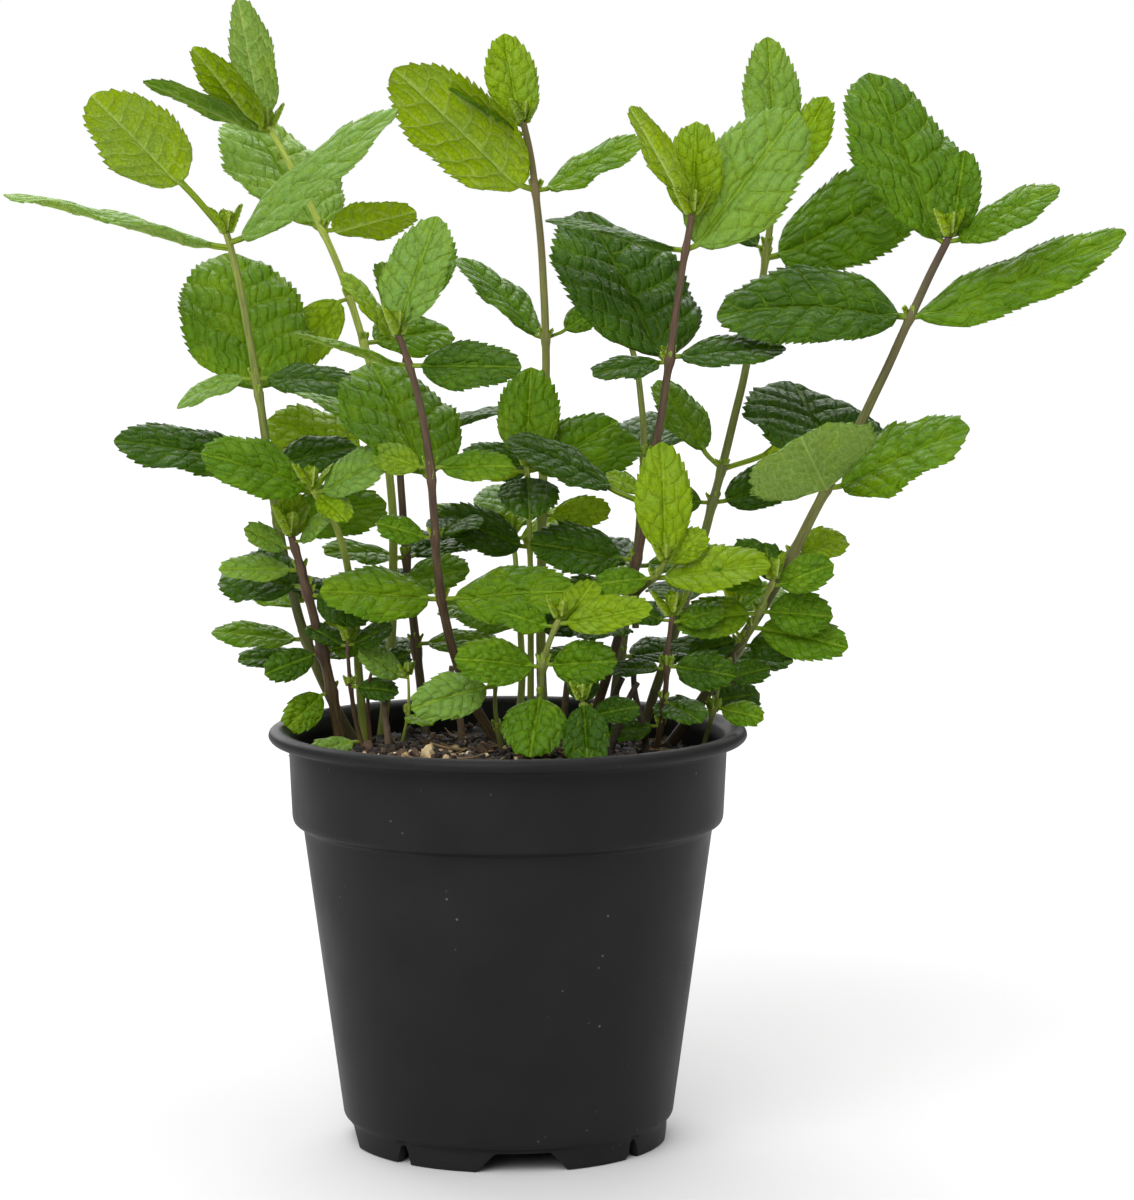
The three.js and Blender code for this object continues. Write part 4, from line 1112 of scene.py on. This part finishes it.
    dullness = add_node(tree, "MapRange", {0: under, 3: 0.29, 4: 0.56})
    spots = add_node(tree, "MapRange", {0: mottle, 1: 0.3, 2: 0.7, 3: -0.06, 4: 0.08})
    roughness = add_node(tree, "Math", {0: dullness, 1: spots}, operation="ADD")
    surface = add_node(tree, "BsdfPrincipled", {
        "Base Color": coloured, "Roughness": roughness, "IOR": 1.38, "Normal": bump,
        "Specular IOR Level": 0.28})
    youth = add_node(tree, "MapRange", {0: tone, 1: DEEP_AND_SHADED, 2: LIME_AND_BACKLIT, 3: 0.12, 4: 0.62})
    glow = add_node(tree, "Mix", {0: youth, 6: coloured, 7: rgba("#d6e414")}, output=2, data_type="RGBA")
    through = add_node(tree, "BsdfTranslucent", {"Color": glow, "Normal": bump})
    both = add_node(tree, "MixShader", {0: 0.40, 1: surface, 2: through})
    tree.links.new(both, out.inputs["Surface"])
    return material


BARKS = {
    "purple": ("stem_purple", ["#4a3d28", "#46332a", "#523c33"], "#6b5c38"),
    "olive": ("stem_olive", ["#5a5236", "#6f7a38", "#86913f"], "#4c4a2c"),
    "pale": ("stem_pale", ["#7e8a40", "#9aa847", "#a9b94e"], "#6c7a33"),
    "olive_to_purple": ("stem_purple", ["#4f4234", "#76793a", "#4e3c33"], "#4c4730"),
    "pale_to_purple": ("stem_pale", ["#7e8240", "#8f9a42", "#76604a"], "#5f6b30"),
}


def bark_material(name, colours, streak_colour):
    """Mint stem, grown square and downy: a soft green or purple skin. The eye sees a slow change of colour
    from its foot to its top, fine streaks 0.6 mm wide and 8 mm long, and a dull gloss along the corners."""
    material, tree, out = new_material("mint stem, " + name.replace("_", " "))
    growth = add_node(tree, "Attribute", attribute_name="growth", output=1)
    part, along, around = add_node(tree, "SeparateXYZ", {0: growth}, output=None)
    along_only = add_node(tree, "CombineXYZ", {0: along})
    slow = add_node(tree, "TexNoise", {"Vector": along_only, "Scale": 0.05})
    drift = add_node(tree, "MapRange", {0: slow, 1: 0.3, 2: 0.7, 3: -0.15, 4: 0.15})
    wandering = add_node(tree, "Math", {0: part, 1: drift}, operation="ADD")
    base = add_node(tree, "ValToRGB", {0: wandering}, stops=[
        (0.0, linear(colours[0])), (0.4, linear(colours[1])), (0.95, linear(colours[2]))])
    stretched = add_node(tree, "VectorMath", {0: growth, 1: (0.0, 0.12, 1.6)}, operation="MULTIPLY")
    streaks = add_node(tree, "TexNoise", {"Vector": stretched, "Scale": 1.0, "Detail": 4.0})
    streak_share = add_node(tree, "MapRange", {0: streaks, 1: 0.4, 2: 0.7, 3: 0.0, 4: 0.7})
    streaked = add_node(tree, "Mix", {0: streak_share, 6: base, 7: rgba(streak_colour)}, output=2,
                        data_type="RGBA")
    down = add_node(tree, "TexNoise", {"Vector": growth, "Scale": 2.5, "Detail": 3.0})
    height = add_node(tree, "Math", {0: streaks, 1: down}, operation="ADD")
    bump = add_node(tree, "Bump", {"Strength": 0.4, "Distance": 0.0003, "Height": height})
    surface = add_node(tree, "BsdfPrincipled", {
        "Base Color": streaked, "Roughness": 0.48, "IOR": 1.45, "Normal": bump, "Specular IOR Level": 0.35,
        "Subsurface Weight": 0.06, "Subsurface Radius": (0.001, 0.0016, 0.0005), "Subsurface Scale": 1.0})
    tree.links.new(surface, out.inputs["Surface"])
    return material


def pot_material(pot):
    """Polypropylene, injection moulded with a fine satin grain: charcoal black. The eye sees broad soft
    highlights, a faint orange-peel waviness, and a little dust and scuffing that turns it grey."""
    material, tree, out = new_material("polypropylene, moulded satin")
    where = add_node(tree, "TexCoord", output=3)
    dust = add_node(tree, "TexNoise", {"Vector": where, "Scale": 45.0, "Detail": 6.0})
    specks = add_node(tree, "TexVoronoi", {"Vector": where, "Scale": 210.0})
    grain = add_node(tree, "TexNoise", {"Vector": where, "Scale": 1600.0, "Detail": 2.0})
    waves = add_node(tree, "TexNoise", {"Vector": where, "Scale": 60.0, "Detail": 1.0})
    dust_share = add_node(tree, "MapRange", {0: dust, 1: 0.35, 2: 0.8, 3: 0.0, 4: 0.35})
    dusty = add_node(tree, "Mix", {0: dust_share, 6: (*pot.colour, 1), 7: rgba("#2c2c2c")}, output=2,
                     data_type="RGBA")
    speck = add_node(tree, "MapRange", {0: specks, 1: 0.04, 2: 0.09, 3: 0.35, 4: 0.0})
    dusty_place = add_node(tree, "MapRange", {0: dust, 1: 0.55, 2: 0.62})
    speck_share = add_node(tree, "Math", {0: speck, 1: dusty_place}, operation="MULTIPLY")
    specked = add_node(tree, "Mix", {0: speck_share, 6: dusty, 7: rgba("#8d8a84")}, output=2,
                       data_type="RGBA")
    height = add_node(tree, "Math", {0: grain, 1: 0.12, 2: waves}, operation="MULTIPLY_ADD")
    bump = add_node(tree, "Bump", {"Strength": 0.12, "Distance": 0.0008, "Height": height})
    roughness = add_node(tree, "MapRange", {0: dust, 1: 0.3, 2: 0.75, 3: 0.42, 4: 0.56})
    surface = add_node(tree, "BsdfPrincipled", {
        "Base Color": specked, "Roughness": roughness, "IOR": 1.30, "Normal": bump,
        "Specular IOR Level": 0.25})
    tree.links.new(surface, out.inputs["Surface"])
    return material


def ground_material(name, colours, roughness, scale, damp=0.0):
    """A loose natural stuff, milled, crushed or withered: each crumb or thread has a colour of its own from
    the piece's shade values, and noise at the grain's size mottles it."""
    material, tree, out = new_material(name)
    where = add_node(tree, "TexCoord", output=3)
    shade = add_node(tree, "Attribute", attribute_name="shade", output=1)
    crumb = add_node(tree, "SeparateXYZ", {0: shade})
    grain = add_node(tree, "TexNoise", {"Vector": where, "Scale": scale, "Detail": 6.0, "Roughness": 0.7})
    crumb_share = add_node(tree, "Math", {0: crumb, 1: 0.55}, operation="MULTIPLY")
    mixed = add_node(tree, "Math", {0: grain, 1: 0.6, 2: crumb_share}, operation="MULTIPLY_ADD")
    stops = [(0.15 + 0.7 * i / (len(colours) - 1), linear(colour)) for i, colour in enumerate(colours)]
    base = add_node(tree, "ValToRGB", {0: mixed}, stops=stops)
    bump = add_node(tree, "Bump", {"Strength": 0.8, "Distance": 0.0008, "Height": grain})
    surface = add_node(tree, "BsdfPrincipled", {
        "Base Color": base, "Roughness": roughness, "IOR": 1.4, "Normal": bump, "Coat Weight": damp,
        "Coat Roughness": 0.35})
    tree.links.new(surface, out.inputs["Surface"])
    return material


# ------------------------------------------------------------------ settings
# One function for each kind of setting: each has its name, what it says, and its default.
def length_setting(name, description, millimetres):
    return bpy.props.FloatProperty(name=name, description=description, default=millimetres * MM,
                                   unit="LENGTH", precision=4)


def angle_setting(name, description, degrees):
    return bpy.props.FloatProperty(name=name, description=description, default=math.radians(degrees),
                                   subtype="ANGLE")


def share_setting(name, description, share, most):
    return bpy.props.FloatProperty(name=name, description=description, default=share, min=0.0, max=most,
                                   subtype="FACTOR")


def strength_setting(name, description, strength):
    return bpy.props.FloatProperty(name=name, description=description, default=strength, min=0.0)


def count_setting(name, description, count, least=0):
    return bpy.props.IntProperty(name=name, description=description, default=count, min=least)


def colour_setting(name, description, hex_colour):
    return bpy.props.FloatVectorProperty(name=name, description=description, subtype="COLOR", size=3,
                                         default=linear(hex_colour), min=0.0, max=1.0)


class MintPotSettings(bpy.types.PropertyGroup):
    """The sizes and the colour of the nursery pot."""
    wall: length_setting("Wall", "Thickness of the moulded wall", 1.8)
    foot_radius: length_setting("Foot radius", "Outer radius of the foot ring", 43.4)
    foot_depth: length_setting("Foot depth", "How far the foot ring stands below the floor", 6.5)
    band_bottom: length_setting("Band bottom", "Height of the step under the upper band", 87)
    step_radius: length_setting("Step radius", "Outer radius just under the upper band", 55.6)
    wide_notch: length_setting("Wide notch", "Width of the wide notches in the foot ring, at the top", 15)
    narrow_notch: length_setting("Narrow notch", "Width of the narrow notches, at the top", 2)
    notch_height: length_setting("Notch height", "How far the notches are cut up", 5.1)
    notch_turn: angle_setting("Notch turn", "Heading of the first wide notch", -84)
    segments: count_setting("Segments", "Steps once round the pot", 320, 64)
    colour: colour_setting("Colour", "Colour of the plastic", "#1b1b1c")


class MintLeafSettings(bpy.types.PropertyGroup):
    """The form and the colours of the leaves."""
    tooth_pitch: length_setting("Tooth pitch", "Distance between the margin's teeth", 2.2)
    rows_per_tooth: count_setting("Rows per tooth", "Mesh rows that draw one tooth", 5, 3)
    light_turn: bpy.props.FloatProperty(
        name="Turn to light", description="Degrees that small leaves roll to the light", default=24)
    tooth_depth: share_setting("Tooth depth", "Depth of a tooth against the leaf's width", 0.038, 0.2)
    ladder_pitch: length_setting("Cross vein pitch", "Distance between the veins that join side veins", 3.3)
    net_cell: length_setting("Net cell", "Size of the finest cells in the skin", 1.5)
    quilting: share_setting("Quilting", "Height of the puffed cells against the leaf's width", 0.085, 0.2)
    fold: share_setting("Fold", "How steeply the halves rise from the midrib", 0.20, 1.0)
    arch: share_setting("Arch", "How far the halves arch back down to the margin", 0.22, 1.0)
    twist: angle_setting("Twist", "Most that a blade twists about its midrib", 9)
    thickness: length_setting("Thickness", "Thickness of the blade between its veins", 0.30)
    # Deep green is partly old leaves and partly painted shade, lime partly young growth and partly painted
    # backlight, and silvery green a painted sheen.
    deep_and_shaded: colour_setting("Deep green", "Colour of old, shaded leaves", "#2d5505")
    green: colour_setting("Green", "Colour of most leaves", "#538109")
    lime_and_backlit: colour_setting("Lime", "Colour of young leaves", "#8ca804")
    painted_sheen: colour_setting("Silvery green", "Colour of leaves whose wax catches the light", "#7da457")
    vein: colour_setting("Vein", "Colour of the veins on the upper side", "#98bb32")


class MintCompostSettings(bpy.types.PropertyGroup):
    """How much loose stuff lies on the compost."""
    crumbs: count_setting("Crumbs", "Crumbs of peat on the surface", 1500)
    grit: count_setting("Grit", "Grains of pale grit", 150)
    fibres: count_setting("Fibres", "Dry roots and straws", 90)


class MintStageSettings(bpy.types.PropertyGroup):
    """The floor, the light and the camera."""
    floor_colour: colour_setting("Floor", "Colour of the floor", "#c9c9c9")
    surround: strength_setting("Surround", "Strength of the light from all round", 0.22)
    key: strength_setting("Key light", "Strength of the light from the front and the left", 2.0)
    top: strength_setting("Top light", "Strength of the very wide light from above", 2.8)
    back: strength_setting("Back light", "Strength of the wide light from behind", 2.4)
    distance: length_setting("Camera distance", "From the camera to the pot's axis, along the ground", 1055)
    height: length_setting("Camera height", "Of the camera above the ground", 260)
    offset: length_setting("Camera offset", "Of the camera to the right of the pot's axis", 16)
    pitch: angle_setting("Camera pitch", "How far the camera looks down", 6.1)
    lens: bpy.props.FloatProperty(name="Lens", description="Focal length for a sensor 36 mm wide",
                                  default=124.6, subtype="DISTANCE_CAMERA")


# ------------------------------------------------------------------ operators
def named_shoots():
    """Every shoot and sprig with a number of its own, which seeds its random draws."""
    return [(100 * (i + 1), name, shoot) for i, (name, shoot) in enumerate({**SHOOTS, **SPRIGS}.items())]


class MINT_OT_pot(bpy.types.Operator):
    """Adds the nursery pot: a moulded wall with a rolled lip, a stepped band and a notched foot ring"""
    bl_idname = "mint.pot"
    bl_label = "Nursery pot"

    def execute(self, context):
        pot = context.scene.mint_pot
        make_piece("nursery_pot", pot_shape(pot), pot_material(pot), 32, ["pot"],
                   finish=lambda piece: cut_drain_holes(piece, pot))
        return {"FINISHED"}


class MINT_OT_compost(bpy.types.Operator):
    """Adds the compost with its clods, crumbs, grit and fibres"""
    bl_idname = "mint.compost"
    bl_label = "Compost"

    def execute(self, context):
        settings = context.scene.mint_compost
        random = np.random.default_rng(21)
        # Peat compost, milled and damp: near-black brown grains with a few damp glints.
        peat = ground_material("peat compost, milled", ["#0d0a08", "#1a1410", "#2e231a", "#5a4634"], 0.9, 420,
                               damp=0.08)
        # Grit, crushed limestone and bark: cream to tan, dull and broken.
        grit = ground_material("grit, crushed", ["#6f5c40", "#a78c62", "#cbb68c", "#ded2b4"], 0.85, 700)
        # Dry roots and straw, shrivelled: fawn threads.
        straw = ground_material("dry roots, shrivelled", ["#3d3022", "#6e573b", "#9c8158"], 0.8, 500)
        make_piece("compost", compost_shape(), peat, 180, ["soil"])

        crumbs = Shape()
        places = scattered(random, settings.crumbs, [0, 0], 27)
        sizes = 0.45 + 1.5 * random.random(len(places)) ** 3
        add_crumbs(crumbs, places, sizes, random)
        make_piece("compost_crumbs", crumbs, peat, 60)

        grains = Shape()
        places = np.concatenate([scattered(random, settings.grit // 2, [-28, -22], [9, 6]),
                                 scattered(random, settings.grit // 2, [0, -22], 18)])
        add_crumbs(grains, places, 0.35 + 1.0 * random.random(len(places)) ** 2, random)
        lump = scattered(random, 2, [-22, -30], 1.2, 1.6)
        add_crumbs(grains, lump, np.full(len(lump), 1.8), random, 1.2)
        make_piece("compost_grit", grains, grit, 60)

        fibres = Shape()
        for start in scattered(random, settings.fibres, [0, -6], 25):
            add_fibre(fibres, start, random.uniform(0, 2 * np.pi), random.uniform(4, 15),
                      random.uniform(0.16, 0.42), random, rise=random.uniform(0, 0.5))
        make_piece("compost_fibres", fibres, straw, 60)
        return {"FINISHED"}


class MINT_OT_stems(bpy.types.Operator):
    """Adds the square stems, one piece for each stem of the frame"""
    bl_idname = "mint.stems"
    bl_label = "Stems"

    def execute(self, context):
        materials = {bark: bark_material(bark, *look[1:]) for bark, look in BARKS.items()}
        for seed, name, shoot in named_shoots():
            shape = Shape()
            add_stem(shape, shoot, seed)
            replaced = ["stem_" + name] if name in SHOOTS else []
            bark = shoot["bark"]
            make_piece("stem_of_" + name, shape, materials[bark], 60, replaced)
        dry = ground_material("dry stems, withered", ["#2c241c", "#54473a", "#8a7558"], 0.75, 300)
        shape = Shape()
        for i, (x, y, top_x, top_y, top_z) in enumerate(DRY_STEMS):
            foot, top = np.array([x, y, SOIL_TOP - 3]), np.array([top_x, top_y, top_z])
            route = [foot, foot + (top - foot) * 0.33 + [1, 0, 0], foot + (top - foot) * 0.66, top]
            t = np.linspace(0, 1, 24)
            rings = stem_rings(stem_point(route, t), 1.1 - 0.35 * t, 10, 2.6)
            shape.add_tube(rings, foot, top + [0, 0, 0.2], shade=[i / len(DRY_STEMS), 0, 0])
        make_piece("dry_stems", shape, dry, 60)
        return {"FINISHED"}


class MINT_OT_leaves(bpy.types.Operator):
    """Adds the leaves: one piece for each leaf of the frame, and the small ones of a shoot together"""
    bl_idname = "mint.leaves"
    bl_label = "Leaves"

    def execute(self, context):
        look = context.scene.mint_leaf
        material = leaf_material(look)
        for seed, name, shoot in named_shoots():
            route, thickness = shoot["route"], shoot["thickness"]
            for i, leaf in enumerate(shoot["leaves"]):
                shape = Shape()
                add_leaf(shape, leaf, *leaf_start(route, thickness, leaf), look, seed + i)
                make_piece(f"mint_leaf_{name}_{i + 1}", shape, material, 60, [f"leaf_{name}_{i + 1}"])
            shape = Shape()
            for i, leaf in enumerate(shoot["small"]):
                add_leaf(shape, leaf, *leaf_start(route, thickness, leaf), look, seed + 20 + i,
                         light_turn=look.light_turn)
            make_piece(f"small_leaves_{name}", shape, material, 60)
            shape = Shape()
            add_young_tip(shape, route, 0.995, shoot["tip"], look, seed + 50, heading=20)
            for i, (place, heading) in enumerate(axil_places(shoot)):
                add_young_tip(shape, route, place, 3.2, look, seed + 56 + 3 * i, heading=heading)
            make_piece(f"young_tips_{name}", shape, material, 60)
        return {"FINISHED"}


class MINT_OT_stage(bpy.types.Operator):
    """Adds the floor, the soft studio light and the camera"""
    bl_idname = "mint.stage"
    bl_label = "Stage"

    def execute(self, context):
        stage = context.scene.mint_stage
        scene = context.scene
        paint, tree, out = new_material("studio floor, matt painted")
        surface = add_node(tree, "BsdfPrincipled", {
            "Base Color": (*stage.floor_colour, 1), "Roughness": 0.9, "Specular IOR Level": 0.0})
        tree.links.new(surface, out.inputs["Surface"])
        turn = np.arange(96) / 96 * 2 * np.pi
        rim = FLOOR_RADIUS * np.stack([np.cos(turn), np.sin(turn), 0 * turn], -1)
        mesh = bpy.data.meshes.new("studio_floor")
        mesh.from_pydata(rim + POT_AXIS, [], [list(range(96))])
        mesh.materials.append(paint)
        floor = bpy.data.objects.new("studio_floor", mesh)
        scene.collection.objects.link(floor)

        world = bpy.data.worlds.new("studio surround")
        world.use_nodes = True
        tree = world.node_tree
        tree.nodes.clear()
        seen = add_node(tree, "LightPath")
        strength = add_node(tree, "MapRange", {0: seen, 3: stage.surround, 4: 1.0})
        background = add_node(tree, "Background", {"Color": (1, 1, 1, 1), "Strength": strength})
        tree.links.new(background, tree.nodes.new("ShaderNodeOutputWorld").inputs["Surface"])
        scene.world = world

        lights = [("key light", (-0.45, -1.0, 0.85), 50, stage.key),
                  ("top light", (0.0, 0.0, 1.0), 120, stage.top),
                  ("back light", (-0.2, 1.0, 0.75), 60, stage.back)]
        for name, direction, width, strength in lights:
            light = bpy.data.lights.new(name, "SUN")
            light.angle, light.energy = math.radians(width), strength
            lamp = bpy.data.objects.new(name, light)
            lamp.rotation_euler = (-Vector(direction)).to_track_quat("-Z", "Y").to_euler()
            scene.collection.objects.link(lamp)

        camera = bpy.data.cameras.new("camera")
        camera.sensor_fit, camera.sensor_width, camera.lens = "HORIZONTAL", 36, stage.lens
        camera.clip_end = 30
        eye = bpy.data.objects.new("camera", camera)
        eye.location = Vector(POT_AXIS) + Vector((stage.offset, -stage.distance, stage.height))
        eye.rotation_euler = (math.pi / 2 - stage.pitch, 0, 0)
        scene.collection.objects.link(eye)
        scene.camera = eye
        scene.view_settings.view_transform = "Standard"
        return {"FINISHED"}


class MINT_PT_panel(bpy.types.Panel):
    """Lists the plant's pieces and its settings"""
    bl_idname = "MINT_PT_panel"
    bl_label = "Potted Mint"
    bl_space_type = "VIEW_3D"
    bl_region_type = "UI"
    bl_category = "Mint"

    def draw(self, context):
        for operator in OPERATORS:
            self.layout.operator(operator.bl_idname)
        for name in SETTINGS:
            box = self.layout.box()
            group = getattr(context.scene, name)
            for key in group.bl_rna.properties.keys():
                if key not in {"rna_type", "name"}:
                    box.prop(group, key)


SETTINGS = {
    "mint_pot": MintPotSettings,
    "mint_leaf": MintLeafSettings,
    "mint_compost": MintCompostSettings,
    "mint_stage": MintStageSettings,
}
OPERATORS = (MINT_OT_pot, MINT_OT_compost, MINT_OT_stems, MINT_OT_leaves, MINT_OT_stage)


def register():
    for name, group in SETTINGS.items():
        bpy.utils.register_class(group)
        setattr(bpy.types.Scene, name, bpy.props.PointerProperty(type=group))
    for kind in (*OPERATORS, MINT_PT_panel):
        bpy.utils.register_class(kind)


def unregister():
    for kind in (MINT_PT_panel, *reversed(OPERATORS)):
        bpy.utils.unregister_class(kind)
    for name, group in reversed(SETTINGS.items()):
        delattr(bpy.types.Scene, name)
        bpy.utils.unregister_class(group)


def main():
    """Registers the classes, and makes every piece."""
    register()
    for operator in OPERATORS:
        family, name = operator.bl_idname.split(".")
        getattr(getattr(bpy.ops, family), name)()


if __name__ == "__main__":
    main()
